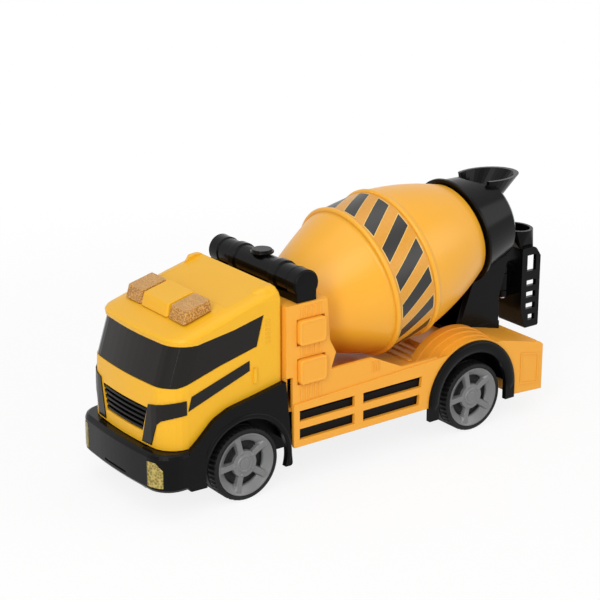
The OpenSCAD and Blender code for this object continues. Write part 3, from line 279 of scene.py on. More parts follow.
def cushion(outline, lo, hi, edge, dish=None, draft=0.0, steps=6):
    """A solid that fills an outline from height lo to hi, as points (u, v, height) and faces.

    With t from 0 to 90 degrees, the rings of the rounded upper edge lie at inset
    draft + edge (1 - cos t) and height hi - edge (1 - sin t). dish gives the inset and depth
    of a shallow hollow in the top, and draft how far the sides lean in. One more ring just
    inside the last keeps the middle flat.
    """
    rim = 0.12
    t = np.linspace(0, TAU / 4, steps)
    levels = [(0.0, lo), *zip(draft + edge * (1 - np.cos(t)), hi - edge * (1 - np.sin(t)))]
    if dish:
        inward, depth = dish
        levels += [(inward, hi), (inward + 1.5 * depth, hi - depth)]
    levels.append((levels[-1][0] + rim, levels[-1][1]))
    rings = np.stack([np.column_stack([inset(outline, by), np.full(len(outline), h)])
                      for by, h in levels])
    return capped(rings)


def joined(*parts):
    """Several (points, faces) as one."""
    starts = np.cumsum([0] + [len(points) for points, _ in parts])
    return (np.concatenate([points for points, _ in parts]),
            np.concatenate([faces + start for (_, faces), start in zip(parts, starts)]))


def smoothstep(lo, hi, x):
    """0 below lo, 1 above hi, and a smooth ramp between."""
    t = np.clip((x - lo) / (hi - lo), 0, 1)
    return t * t * (3 - 2 * t)


# ---------- node trees ----------


def put(tree, kind, inputs=None, **settings):
    """Adds a node, sets it up and feeds its inputs with values or sockets."""
    node = tree.nodes.new(kind)
    for name, value in settings.items():
        setattr(node, name, value)
    for key, value in (inputs or {}).items():
        if isinstance(value, NodeSocket):
            tree.links.new(value, node.inputs[key])
        else:
            node.inputs[key].default_value = value
    return node


def maths(tree, operation, *values, clamp=False):
    """A Math node's output for one, two or three values or sockets."""
    return put(tree, "ShaderNodeMath", dict(enumerate(values)), operation=operation,
               use_clamp=clamp).outputs[0]


def ramp(tree, value, start, end, low, high, **settings):
    """A Map Range node's output: low at start, high at end, and straight between if not set."""
    return put(tree, "ShaderNodeMapRange", {"Value": value, "From Min": start, "From Max": end,
                                            "To Min": low, "To Max": high}, **settings).outputs[0]


def blend_colour(tree, factor, a, b):
    """The mix of two colours by a factor."""
    return put(tree, "ShaderNodeMix", {0: factor, 6: a, 7: b}, data_type="RGBA").outputs[2]


def group(name, inputs, outputs):
    """A new shader group, what its input node gives and what its output node takes."""
    tree = bpy.data.node_groups.new(name, "ShaderNodeTree")
    kinds = {"colour": "NodeSocketColor", "value": "NodeSocketFloat"}
    for label, kind, default in inputs:
        socket = tree.interface.new_socket(label, in_out="INPUT", socket_type=kinds[kind])
        socket.default_value = default
    for label, kind in outputs:
        tree.interface.new_socket(label, in_out="OUTPUT", socket_type=kinds[kind])
    ins, outs = tree.nodes.new("NodeGroupInput"), tree.nodes.new("NodeGroupOutput")
    return tree, ins.outputs, outs.inputs


def rgba(colour):
    """A colour with full alpha."""
    return (*colour[:3], 1.0)


def moulded_group():
    """Moulded plastic: slow drifts of tone, fine grain, and gloss that varies a little."""
    tree, ins, outs = group(
        "Moulded Skin",
        [("Colour", "colour", (1, 1, 1, 1)), ("Deep Colour", "colour", (0, 0, 0, 1)),
         ("Drift", "value", 0.3), ("Grain Size", "value", 900.0), ("Gloss", "value", 0.3),
         ("Gloss Spread", "value", 0.08)],
        [("Colour", "colour"), ("Roughness", "value"), ("Height", "value")])
    place = put(tree, "ShaderNodeTexCoord").outputs["Object"]
    flow = put(tree, "ShaderNodeTexNoise", {"Vector": place, "Scale": 28.0, "Detail": 3.0,
                                            "Roughness": 0.55})
    grain = put(tree, "ShaderNodeTexNoise", {"Vector": place, "Scale": ins["Grain Size"],
                                             "Detail": 2.0})
    share = maths(tree, "MULTIPLY", flow.outputs[0], ins["Drift"], clamp=True)
    colour = blend_colour(tree, share, ins["Colour"], ins["Deep Colour"])
    offset = maths(tree, "SUBTRACT", flow.outputs[0], 0.5)
    wobble = maths(tree, "SUBTRACT", grain.outputs[0], 0.5)
    both = maths(tree, "ADD", offset, wobble)
    rough = maths(tree, "MULTIPLY_ADD", both, ins["Gloss Spread"], ins["Gloss"], clamp=True)
    tree.links.new(colour, outs["Colour"])
    tree.links.new(rough, outs["Roughness"])
    tree.links.new(grain.outputs[0], outs["Height"])


def hammered_group():
    """Lens surface: close dimples with a paler rim, as in a pressed reflector."""
    tree, ins, outs = group(
        "Hammered Lens",
        [("Colour", "colour", (1, 1, 1, 1)), ("Pale Colour", "colour", (1, 1, 1, 1)),
         ("Cell Size", "value", 500.0)],
        [("Colour", "colour"), ("Height", "value")])
    place = put(tree, "ShaderNodeTexCoord").outputs["Object"]
    cells = put(tree, "ShaderNodeTexVoronoi", {"Vector": place, "Scale": ins["Cell Size"],
                                               "Randomness": 0.9})
    drift = put(tree, "ShaderNodeTexNoise", {"Vector": place, "Scale": 160.0, "Detail": 3.0})
    ridge = maths(tree, "POWER", maths(tree, "MULTIPLY", cells.outputs["Distance"], 1.35), 2.0)
    edge = maths(tree, "MULTIPLY_ADD", drift.outputs[0], 0.3, ridge, clamp=True)
    colour = blend_colour(tree, edge, ins["Colour"], ins["Pale Colour"])
    tree.links.new(colour, outs["Colour"])
    tree.links.new(cells.outputs["Distance"], outs["Height"])


def new_material(name):
    """A material with a Principled shader, and its tree."""
    material = bpy.data.materials.new(name)
    material.use_nodes = True
    tree = material.node_tree
    return material, tree, tree.nodes["Principled BSDF"].inputs


def edge_normal(tree, radius, height=None, strength=0.1, depth=0.05):
    """A normal that rounds sharp edges over a radius in mm, with a bump over it if wanted."""
    bevel = put(tree, "ShaderNodeBevel", {"Radius": radius * MM}, samples=4).outputs[0]
    if height is None:
        return bevel
    bump = put(tree, "ShaderNodeBump", {"Height": height, "Strength": strength,
                                        "Distance": depth * MM, "Normal": bevel})
    return bump.outputs[0]


def plastic(name, colour, deep, gloss, spread=0.08, grain=900.0, drift=0.35, bump=0.06,
            metal=0.0, shine=0.5):
    """A moulded or painted plastic made with the Moulded Skin group.

    drift is how much of the deep colour shows, spread how much the gloss varies, bump how
    strong the grain is, and shine the specular level.
    """
    material, tree, shader = new_material(name)
    skin = put(tree, "ShaderNodeGroup", node_tree=bpy.data.node_groups["Moulded Skin"])
    for label, value in (("Colour", rgba(colour)), ("Deep Colour", rgba(deep)),
                         ("Drift", drift), ("Grain Size", grain), ("Gloss", gloss),
                         ("Gloss Spread", spread)):
        skin.inputs[label].default_value = value
    tree.links.new(skin.outputs["Colour"], shader["Base Color"])
    tree.links.new(skin.outputs["Roughness"], shader["Roughness"])
    tree.links.new(edge_normal(tree, 0.3, skin.outputs["Height"], bump), shader["Normal"])
    shader["Metallic"].default_value = metal
    shader["Specular IOR Level"].default_value = shine
    return material


def lens(name, colour, pale, cell):
    """A textured lens made with the Hammered Lens group, with a painted highlight along its edges
    and painted light on its top.

    An edge is where the rounded normal turns away from the real one, and the top is where
    the real one points up; both are mixed toward the pale colour as painted light.
    """
    material, tree, shader = new_material(name)
    skin = put(tree, "ShaderNodeGroup", node_tree=bpy.data.node_groups["Hammered Lens"])
    skin.inputs["Colour"].default_value = rgba(colour)
    skin.inputs["Pale Colour"].default_value = rgba(pale)
    skin.inputs["Cell Size"].default_value = cell
    true = put(tree, "ShaderNodeNewGeometry").outputs["Normal"]
    turned = put(tree, "ShaderNodeVectorMath", {0: edge_normal(tree, 0.9), 1: true},
                 operation="DOT_PRODUCT").outputs["Value"]
    rise = put(tree, "ShaderNodeSeparateXYZ", {0: true}).outputs["Z"]
    # Painted highlight where the edges round off, and painted light where the faces point up.
    share = maths(tree, "MAXIMUM", ramp(tree, turned, 0.97, 0.86, 0.0, 0.75),
                  ramp(tree, rise, 0.4, 0.9, 0.0, 0.5))
    painted_light_colour = blend_colour(tree, share, skin.outputs["Colour"], rgba(pale))
    tree.links.new(painted_light_colour, shader["Base Color"])
    tree.links.new(edge_normal(tree, 0.3, skin.outputs["Height"], 0.6, 0.4), shader["Normal"])
    shader["Roughness"].default_value = 0.2
    shader["Specular IOR Level"].default_value = 0.25
    return material


def label_foil(name, colour, deep, black, pale):
    """Printed foil round the drum: slanted black bars with thin pale outlines.

    The bars follow the label's own UV map, where U goes once round and V across it. A point
    is on a bar where the fraction of bars U + slant V is within half a bar of 0.5.
    """
    half_bar, half_length = 0.26, 0.44
    material, tree, shader = new_material(name)
    uv = put(tree, "ShaderNodeUVMap", uv_map="UVMap").outputs[0]
    axes = put(tree, "ShaderNodeSeparateXYZ", {0: uv}).outputs
    around = maths(tree, "MULTIPLY", axes[0], float(LABEL_BARS))
    slant = maths(tree, "MULTIPLY_ADD", axes[1], LABEL_SLANT, around)
    saw = maths(tree, "FRACT", slant)
    middle = maths(tree, "ABSOLUTE", maths(tree, "SUBTRACT", saw, 0.5))
    margin = maths(tree, "ABSOLUTE", maths(tree, "SUBTRACT", axes[1], 0.5))
    bar = maths(tree, "MULTIPLY", maths(tree, "LESS_THAN", middle, half_bar),
                maths(tree, "LESS_THAN", margin, half_length))
    rim = maths(tree, "MULTIPLY", maths(tree, "LESS_THAN", middle, half_bar + 0.02),
                maths(tree, "LESS_THAN", margin, half_length + 0.015))
    place = put(tree, "ShaderNodeTexCoord").outputs["Object"]
    grain = put(tree, "ShaderNodeTexNoise", {"Vector": place, "Scale": 700.0, "Detail": 4.0,
                                             "Roughness": 0.7})
    ground = blend_colour(tree, grain.outputs[0], rgba(colour), rgba(deep))
    outlined = blend_colour(tree, rim, ground, rgba(pale))
    printed = blend_colour(tree, bar, outlined, rgba(black))
    tree.links.new(printed, shader["Base Color"])
    rough = maths(tree, "MULTIPLY_ADD", grain.outputs[0], 0.25, 0.22)
    tree.links.new(rough, shader["Roughness"])
    tree.links.new(edge_normal(tree, 0.1, grain.outputs[0], 0.15, 0.06), shader["Normal"])
    return material


def tone(red, green, blue):
    """A screen colour from 0 to 255 as the linear colour that shaders take."""
    values = np.array([red, green, blue]) / 255
    linear = np.where(values <= 0.04045, values / 12.92, ((values + 0.055) / 1.055) ** 2.4)
    return tuple(float(v) for v in linear)


def make_materials():
    """Every finish of the truck, by name."""
    moulded_group()
    hammered_group()
    colours = bpy.context.scene.mixer_colours
    yellow, bed = tuple(colours.cab), tuple(colours.bed)
    shade = [c * 0.82 for c in yellow]
    bed_shade = [c * 0.85 for c in bed]
    black = tuple(colours.black)
    ink = [c * 0.6 for c in black]
    return {
        "yellow": plastic("Cab yellow", yellow, shade, 0.36, drift=0.3, shine=0.28),
        "drum": plastic("Drum yellow", tuple(colours.drum), shade, 0.33, drift=0.25, shine=0.4),
        "bed": plastic("Bed yellow", bed, bed_shade, 0.4, drift=0.3, bump=0.1, shine=0.35),
        "black": plastic("Gloss black", black, ink, 0.2, drift=0.5, shine=0.12),
        "satin": plastic("Satin black", black, ink, 0.5, spread=0.15, grain=1400.0, bump=0.2,
                         shine=0.12),
        "window": plastic("Window black", tuple(colours.window), ink, 0.13, spread=0.04,
                          bump=0.02, shine=0.22),
        "silver": plastic("Silver paint", tuple(colours.rim), [c * 0.75 for c in colours.rim],
                          0.38, spread=0.1, grain=2600.0, bump=0.12, metal=0.3, shine=0.3),
        "tyre": plastic("Tyre", (0.009, 0.009, 0.0095), (0.004, 0.004, 0.004), 0.6,
                        spread=0.2, grain=1800.0, bump=0.25, drift=0.6, shine=0.2),
        # The lenses' pale colours tint the dimple rims and also carry the painted edge highlight
        # and painted top light.
        "amber": lens("Amber lens", tuple(colours.lens), tone(208, 154, 78), 1300.0),
        "fog": lens("Fog lens", tone(104, 88, 34), tone(186, 166, 92), 700.0),
        "label": label_foil("Drum label", tone(226, 160, 52), tone(204, 138, 36),
                            tone(30, 28, 25), tone(240, 205, 120)),
        "steel": plastic("Plated steel", (0.55, 0.55, 0.57), (0.4, 0.4, 0.42), 0.28,
                         grain=3000.0, metal=1.0),
        "wrap": plastic("Cell wrap", (0.03, 0.03, 0.05), (0.2, 0.1, 0.02), 0.35, drift=0.2),
        "board": plastic("Circuit board", tone(24, 92, 52), tone(12, 60, 34), 0.4, drift=0.5),
        "cone": plastic("Loudspeaker", (0.03, 0.03, 0.03), (0.015, 0.015, 0.015), 0.7),
        # Near-black painted shade for the floors of the rim windows.
        "dark": plastic("Rim window painted shade", (0.012, 0.012, 0.012), (0.006, 0.006, 0.006), 0.7),
    }


materials = {}


# ---------- settings ----------


class MixerColours(PropertyGroup):
    """Colours that an owner of the model may change."""

    cab: FloatVectorProperty(name="Cab", description="Yellow of the cab", subtype="COLOR",
                             default=tone(238, 178, 34), min=0, max=1)
    drum: FloatVectorProperty(name="Drum", description="Yellow of the drum", subtype="COLOR",
                              default=tone(242, 172, 48), min=0, max=1)
    bed: FloatVectorProperty(name="Bed", description="Orange yellow of the bed",
                             subtype="COLOR", default=tone(242, 168, 52), min=0, max=1)
    black: FloatVectorProperty(name="Black", description="Black mouldings", subtype="COLOR",
                               default=tone(8, 8, 8), min=0, max=1)
    window: FloatVectorProperty(name="Windows", description="Window band", subtype="COLOR",
                                default=tone(24, 21, 16), min=0, max=1)
    rim: FloatVectorProperty(name="Rims", description="Silver of the rims", subtype="COLOR",
                             default=tone(122, 122, 122), min=0, max=1)
    lens: FloatVectorProperty(name="Beacon lens", description="Amber of the beacon lenses",
                              subtype="COLOR", default=tone(116, 68, 24), min=0, max=1)


class MixerSizes(PropertyGroup):
    """Sizes of the modelled detail."""

    drum_steps: IntProperty(name="Drum steps", description="Steps round the drum",
                            default=192, min=48, max=512)
    tread_blocks: IntProperty(name="Tread blocks", description="Notches round a tyre shoulder",
                              default=44, min=12, max=90)
    tread_depth: FloatProperty(name="Tread depth", description="Depth of the shoulder notches",
                               default=0.85 * MM, min=0, max=2 * MM, unit="LENGTH")
    lens_length: FloatProperty(name="Focal length", description="Camera focal length in mm",
                               default=108.0, min=20, max=300, unit="CAMERA")


# ---------- drum ----------


def node_profile(node):
    """Lowest and highest point of a node along the drum's spindle, and its largest radius."""
    mesh = frame["nodes"][node].data
    co = np.empty(len(mesh.vertices) * 3)
    mesh.vertices.foreach_get("co", co)
    local = seen_from(drum_matrix(), co)
    radius = np.hypot(local[:, 0], local[:, 1])
    return float(local[:, 2].min()), float(local[:, 2].max()), float(radius.max())


def swell(points, steps, bulge):
    """A run between two profile points that bows outward by bulge in the middle."""
    (r0, h0), (r1, h1) = points
    t = np.linspace(0, 1, steps)
    return np.stack([r0 + (r1 - r0) * t + 4 * bulge * t * (1 - t), h0 + (h1 - h0) * t], -1)


def arc(centre, radius, start, end, steps):
    """Profile points on a circle, with angles in degrees from the radial direction."""
    a = np.radians(np.linspace(start, end, steps))
    return np.stack([centre[0] + radius * np.cos(a), centre[1] + radius * np.sin(a)], -1)


# How far inside the lip the front face and the cone's end lie, and how long the cone is.
FACE_INSET, END_INSET, CONE_LENGTH = 20.6, 14.8, 46.5


def build_drum():
    """Bowl, label and rear cone as turned shells, on the drum's own axis.

    Each shell is a closed profile of (radius, height): straight runs, runs that bow out as
    4 bulge t (1 - t), and arcs for the beads, once out along the skin and back inside it.
    """
    steps = bpy.context.scene.mixer_sizes.drum_steps
    front, _, lip_r = node_profile("drum_bowl")
    _, back, _ = node_profile("drum_cone")
    label_lo, label_hi, label_r = node_profile("drum_label")
    place = drum_matrix()
    wall, bead = 1.8, 1.45
    shaft_r, neck_r, neck_bore = 2.6, 17.0, 15.2
    belt = label_r - 0.35
    bead_r = lip_r - bead
    belt_end = label_hi + 1.5
    face_r = lip_r - FACE_INSET
    bowl = np.concatenate([
        [(shaft_r, front), (face_r * 0.5, front)],
        arc((face_r, front + 2.4), 2.4, -90, -32, 7),
        swell([(face_r + 3.0, front + 2.8), (bead_r - 1.6, -3.4)], 16, 0.5),
        arc((bead_r - 0.2, 0.2), bead, -125, 65, 18),
        [(belt, 1.5), (belt, belt_end)],
        [(belt - wall, belt_end), (belt - wall, 0.5)],
        swell([(bead_r - 4.2, -3.0), (face_r + 1.2, front + 3.8)], 10, 0.4),
        [(face_r * 0.5, front + wall), (shaft_r, front + wall)]])
    points, faces = revolve(bowl, steps, place)
    add_piece("drum_bowl_shell", make_mesh("drum_bowl_shell", points, faces), "drum",
              materials["drum"], ["drum_bowl"])
    middle = label_hi + 1.8
    cone_end = middle + CONE_LENGTH
    end_r = lip_r - END_INSET
    cone = np.concatenate([
        arc((bead_r, middle), bead, -170, 88, 18)[:-3],
        swell([(bead_r + 0.15, middle + 1.9), (end_r + 0.6, cone_end - 1.4)], 26, 1.7),
        arc((end_r - 0.6, cone_end - 1.4), 1.2, 20, 90, 5),
        [(neck_r, cone_end), (neck_r, back), (neck_bore, back), (neck_bore, cone_end - wall)],
        swell([(end_r - wall, cone_end - wall), (bead_r - wall - 0.6, middle + 2.2)], 14, 1.5),
        [(belt - wall - 0.6, middle + 1.8), (belt - wall - 0.6, middle - 3.6),
         (belt - wall - 0.2, middle - 3.6), (belt - wall - 0.2, middle)]])
    points, faces = revolve(cone, steps, place)
    add_piece("drum_cone_shell", make_mesh("drum_cone_shell", points, faces), "drum",
              materials["drum"], ["drum_cone"])
    build_label(place, label_lo - 0.2, label_hi + 0.2, label_r)


def build_label(place, lo, hi, radius, columns=288, rows=9, thickness=0.25):
    """The foil round the belt, a thin closed band.

    Point (u, v) is (r cos 2 pi u, r sin 2 pi u, lo + (hi - lo) v), out along the face at the
    full radius and back along the inside at the radius less the thickness.
    """
    v = np.concatenate([np.linspace(0, 1, rows), np.linspace(1, 0, rows)])
    depth = np.concatenate([np.full(rows, 0.0), np.full(rows, thickness)])
    u = np.linspace(0, 1, columns + 1)
    a = u[:, None] * TAU
    r = radius - depth[None, :]
    points = np.stack([r * np.cos(a), r * np.sin(a),
                       np.broadcast_to(lo + (hi - lo) * v, (columns + 1, len(v)))], -1)
    uv = np.stack(np.broadcast_arrays(u[:, None], v[None, :]), -1).reshape(-1, 2)
    faces = grid_faces(columns + 1, len(v), False, True)
    mesh = make_mesh("drum_label_foil", move(points.reshape(-1, 3), place), faces, uv)
    sharpen(mesh, 40)
    add_piece("drum_label_foil", mesh, "drum", materials["label"], ["drum_label"])


# ---------- wheels ----------


def wheel_matrix(node):
    """A frame on the axle at the outer face of a wheel, Z pointing outward."""
    lo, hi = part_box(node)
    outward = 1 if hi.y + lo.y > 0 else -1
    middle = (lo + hi) / 2
    face = hi.y if outward > 0 else lo.y
    return axis_frame((middle.x, face, middle.z), (0, outward, 0), (0, 0, 1))


def build_tyre(node):
    """A tyre: a rounded section turned round the axle, with notches along both shoulders.

    The section is (radius, height), with two grooves round the tread. A notch takes depth
    off the radius where cos(blocks a) is high and the point is on a shoulder.
    """
    sizes = bpy.context.scene.mixer_sizes
    blocks, depth = sizes.tread_blocks, sizes.tread_depth / MM
    lo, hi = node_span(node)
    outer, width = (hi[2] - lo[2]) / 2, hi[1] - lo[1]
    seat, shoulder_r = 16.55, 1.9
    groove_r = outer - 0.7
    section = np.concatenate([
        [(seat, -1.0)], arc((seat + 0.9, -0.9), 0.8, 150, 90, 4),
        arc((outer - shoulder_r, -shoulder_r), shoulder_r, 84, 8, 12),
        [(outer, -2.8), (outer, -3.4), (outer, -5.8), (groove_r, -6.0), (groove_r, -7.0),
         (outer, -7.2), (outer, -10.8), (groove_r, -11.0), (groove_r, -12.0),
         (outer, -12.2), (outer, -14.4), (outer, -width + 2.8)],
        arc((outer - shoulder_r, -width + shoulder_r), shoulder_r, -8, -90, 10),
        [(seat + 0.8, -width + 0.2), (seat, -width + 1.0)]])

    def notch(a, r, h):
        """Cuts the shoulder back where a square wave round the wheel is high."""
        wave = smoothstep(0.25, 0.45, np.cos(a * blocks))
        near = np.minimum(np.abs(h + 3.2), np.abs(h + width - 3.2))
        shoulder = (1 - smoothstep(1.6, 2.4, near)) * smoothstep(outer - 1.4, outer - 0.6, r)
        return r - depth * wave * shoulder, h

    points, faces = revolve(section, blocks * 6, wheel_matrix(node), notch)
    mesh = make_mesh(node + "_tread", points, faces)
    sharpen(mesh, 50)
    add_piece(node + "_tread", mesh, frame["nodes"][node]["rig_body"],
              materials["tyre"], [node])


# Radii of the rim's windows and of its lip, and the windows' depth, in millimetres.
WINDOW_IN, WINDOW_OUT, LIP_R = 7.2, 12.1, 15.5
WINDOW_FLOOR = -5.8


def rim_face(a, r):
    """Height of the rim's outer face over the wheel's outer plane, in millimetres.

    A narrow lip, then a dish that falls inward as a cone, with raised spokes running up it
    from the hub, windows between them, and a cap, a ring and lugs on the hub. Each step is
    face + (next - face) w, with w a smooth mask of the radius r or of the distance beside a
    spoke's middle, which is r times the angle to it.
    """
    spokes, half_spoke = 5, 1.75
    lug_r, cap_r, ring_r = 6.1, 4.3, 3.0
    sector = TAU / spokes
    turn = np.abs((a / sector + 0.5) % 1 - 0.5)
    beside = (0.5 - turn) * sector * r
    cone = -0.55 - 2.9 * np.clip((15.7 - r) / 4.2, 0, 1)
    crest = -1.8 + smoothstep(7.0, LIP_R, r)
    spoke = 1 - smoothstep(half_spoke - 0.3, half_spoke + 0.3, beside)
    face = cone + (crest - cone) * spoke
    opening = smoothstep(half_spoke + 0.2, half_spoke + 0.8, beside)
    opening = opening * smoothstep(WINDOW_IN, WINDOW_IN + 0.6, r)
    opening = opening * (1 - smoothstep(WINDOW_OUT - 0.6, WINDOW_OUT, r))
    face = face + (WINDOW_FLOOR - face) * opening
    lug = 1 - smoothstep(0.4, 0.75, np.hypot((0.5 - turn) * sector * lug_r, r - lug_r))
    cap = 1 - smoothstep(cap_r, cap_r + 0.5, r)
    hub = -1.6 + 0.5 * lug + 0.55 * cap - 0.35 * np.exp(-((r - ring_r) / 0.25) ** 2)
    face = face + (hub - face) * (1 - smoothstep(WINDOW_IN - 0.3, WINDOW_IN + 0.1, r))
    return face + (-0.25 - face) * smoothstep(LIP_R, LIP_R + 0.5, r)


def build_rim(node):
    """A spoked rim: a dished face given as depth over angle and radius, and its barrel.

    Point (a, r) of the face is (r cos a, r sin a, rim_face(a, r)). The barrel goes on from its
    edge as a turned profile. The windows' floors take a near-black material, painted shade for
    the shadow inside the openings.
    """
    lo, hi = node_span(node)
    outer, width, disc = (hi[2] - lo[2]) / 2 - 0.02, 16.0, -6.2
    hub_r = 5.0
    steps, rings = 300, 58
    a = np.linspace(0, TAU, steps, endpoint=False)[:, None]
    r = np.linspace(0, outer, rings)[None, :]
    a2, r2 = np.broadcast_arrays(a, r)
    depth = rim_face(a2, r2)
    front = np.stack([r2 * np.cos(a2), r2 * np.sin(a2), depth], -1)
    tail = np.array([(outer, -2.0), (outer, -width), (outer - 1.6, -width), (outer - 1.6, disc),
                     (hub_r, disc), (hub_r, -width + 1), (0.0, -width + 1)])
    back = np.stack([tail[None, :, 0] * np.cos(a), tail[None, :, 0] * np.sin(a),
                     np.broadcast_to(tail[None, :, 1], (steps, len(tail)))], -1)
    grid = np.concatenate([front, back], 1)
    faces = grid_faces(steps, grid.shape[1], True, False)
    matrix = wheel_matrix(node)
    mesh = make_mesh(node + "_face", move(grid.reshape(-1, 3), matrix), faces)
    add_piece(node + "_face", mesh, frame["nodes"][node]["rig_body"],
              materials["silver"], [node])
    mesh.materials.append(materials["dark"])
    centres = np.empty(len(mesh.polygons) * 3)
    mesh.polygons.foreach_get("center", centres)
    local = seen_from(matrix, centres)
    radius = np.hypot(local[:, 0], local[:, 1])
    # Faces deep in the windows get the near-black painted shade, standing in for the shadow
    # inside the openings.
    deep = (local[:, 2] < -3.7) & (radius < WINDOW_OUT + 0.3) & (radius > WINDOW_IN - 0.2)
    mesh.polygons.foreach_set("material_index", deep.astype(np.int32))
    sharpen(mesh, 46)


# ---------- arch lips ----------


def build_lip(name, centre, side, radius, sweep, width, proud):
    """A crowned bead along a wheel arch, lying on the panel round it.

    Its section is half an ellipse, width wide and proud high, swept round the arch's centre
    between two angles in degrees from straight back, and it fades out over the last ten. Its
    underside lies a little inside the panel.
    """
    sunk, least = 0.3, 0.03
    matrix = axis_frame(centre * MM, (0, side, 0), (0, 0, 1))
    a = np.radians(np.linspace(*sweep, 96))[:, None]
    inward = np.minimum(a - a[0], a[-1] - a)
    fade = least + (1 - least) * smoothstep(0, math.radians(10), inward)
    if side < 0:
        a = math.pi - a
    t = np.linspace(0, TAU, 24, endpoint=False)[None, :]
    r = radius + fade * width / 2 * np.cos(t)
    h = fade * np.where(np.sin(t) > 0, proud, sunk) * np.sin(t)
    points, faces = capped(np.stack([r * np.cos(a), r * np.sin(a), h], -1))
    mesh = make_mesh(name, move(points, matrix), faces)
    add_piece(name, mesh, "truck", materials["black"])


def build_lips():
    """The beads round all four wheel arches.

    The front ones lie round the axle, just outside the arch in the bumper's side panels. The
    rear ones run along the middle of the arch bands.
    """
    clearance, half_band = 5.25, 3.2
    front = np.array(joint("front_axle_spin")["pos_m"]) / MM
    lo, hi = node_span("tyre_front_left")
    opening = (hi[2] - lo[2]) / 2 + clearance
    panel = node_span("bumper")[1][1]
    for side, label in ((1, "left"), (-1, "right")):
        build_lip("front_arch_lip_" + label, np.array([front[0], side * panel, front[2]]), side,
                  opening + 1.5, (-13, 160), 2.6, 0.5)
        lo, hi = node_span("rear_arch_" + label)
        band = opening - 0.4 + half_band
        centre = np.array([(lo[0] + hi[0]) / 2, hi[1] if side > 0 else lo[1],
                           hi[2] - band - half_band])
        build_lip("rear_arch_lip_" + label, centre, side, band, (-8, 188), 5.6, 0.7)


# ---------- beacon and buttons ----------


def build_beacon(node, material, edge, corner, gap, draft):
    """A beacon block: a cushion with an edge radius, a corner radius in plan and a draft.

    gap is how far its plan stays inside the node's. A point at height h over the plan lies at
    z = foot + slope d + h (1 - taper d), with d its distance behind the front face, and the
    front face leans back by lean at its top.
    """
    lo, hi = node_span(node)
    tall, low, lean = 6.3, 5.3, 1.2
    length = hi[0] - lo[0]
    slope, taper = (hi[2] - lo[2] - low) / length, (tall - low) / tall / length
    plan = rounded_box(lo[0] + gap, lo[1] + gap, hi[0] - gap, hi[1] - gap, corner)
    points, faces = cushion(plan, 0.0, tall, edge, draft=draft)
    back = hi[0] - points[:, 0]
    x = points[:, 0] - lean * points[:, 2] / tall * (1 - back / length)
    z = lo[2] + slope * back + points[:, 2] * (1 - taper * back)
    points = np.stack([x, points[:, 1], z], -1)
    mesh = make_mesh(node + "_block", points * MM, faces)
    sharpen(mesh, 50)
    add_piece(node + "_block", mesh, "truck", material, [node])


def build_button(node, material):
    """A push button: a rounded cap with a dished face, its flange and its stem.

    The outlines lie in X and Z, and the height runs outward along Y.
    """
    lo, hi = node_span(node)
    corner_r, stem_r = 2.7, 2.0
    face = rounded_box(lo[0], lo[2] + 1.0, hi[0] - 1.2, hi[2] - 1.0, corner_r)
    flange = rounded_box(lo[0], lo[2], hi[0], hi[2], 0.6)
    turn = np.linspace(0, TAU, 24, endpoint=False)
    stem = face.mean(0) + stem_r * np.column_stack([np.cos(turn), np.sin(turn)])
    top = hi[1]
    points, faces = joined(cushion(face, top - 4.6, top, 0.9, (1.2, 0.25)),
                           cushion(flange, top - 6.6, top - 4.9, 0.2),
                           cushion(stem, lo[1], top - 6.0, 0.2))
    mesh = make_mesh(node + "_cap", points[:, [0, 2, 1]] * MM, faces)
    sharpen(mesh, 50)
    add_piece(node + "_cap", mesh, frame["nodes"][node]["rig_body"], material,
              [node])


# ---------- operators ----------


class MIXER_OT_drum(Operator):
    """Make the drum's two shells and its label, and finish its spindle"""

    bl_idname = "mixer.drum"
    bl_label = "Drum"

    def execute(self, context):
        build_drum()
        paint("drum_spindle", materials["steel"])
        return {"FINISHED"}


class MIXER_OT_wheels(Operator):
    """Make the tyres and rims, and finish the axles"""

    bl_idname = "mixer.wheels"
    bl_label = "Wheels"

    def execute(self, context):
        for end in ("front", "rear"):
            paint(end + "_axle", materials["steel"])
            for side in ("left", "right"):
                build_tyre(f"tyre_{end}_{side}")
                build_rim(f"rim_{end}_{side}")
        return {"FINISHED"}


class MIXER_OT_cab(Operator):
    """Finish the cab with its windows, grille, lamp trims and stripes"""

    bl_idname = "mixer.cab"
    bl_label = "Cab"

    def execute(self, context):
        paint("cab_shell", materials["yellow"])
        paint("window_band", materials["window"])
        paint("grille", materials["black"])
        for side in ("left", "right"):
            paint("headlamp_trim_" + side, materials["window"])
            paint("door_stripe_" + side, materials["window"])
        return {"FINISHED"}


class MIXER_OT_beacon(Operator):
    """Make the roof beacon and its lenses, and finish its lamps"""

    bl_idname = "mixer.beacon"
    bl_label = "Beacon"

    def execute(self, context):
        build_beacon("beacon_housing", materials["yellow"], 0.5, 1.7, 0.0, 0.5)
        for side in ("left", "right"):
            build_beacon("beacon_lens_" + side, materials["amber"], 0.3, 1.7, 0.3, 0.7)
        paint("beacon_leds", materials["amber"])
        return {"FINISHED"}


class MIXER_OT_bumper(Operator):
    """Finish the bumper, and make its fog lamps and the beads round the wheel arches"""

    bl_idname = "mixer.bumper"
    bl_label = "Bumper"

    def execute(self, context):
        paint("bumper", materials["black"])
        build_lips()
        for side in ("left", "right"):
            soften("fog_lamp_" + side, materials["fog"], 0.3)
        return {"FINISHED"}


class MIXER_OT_keel(Operator):
    """Finish the keel, its battery box, switch and loudspeaker"""

    bl_idname = "mixer.keel"
    bl_label = "Keel"

    def execute(self, context):
        paint("chassis", materials["satin"])
        paint("battery_door", materials["satin"])
        soften("power_switch", materials["black"], 0.15)
        for node in ("battery_door_screw", "housing_screws", "battery_contacts", "switch_body"):
            paint(node, materials["steel"])
        paint("battery_cells", materials["wrap"])
        paint("speaker", materials["cone"])
        return {"FINISHED"}


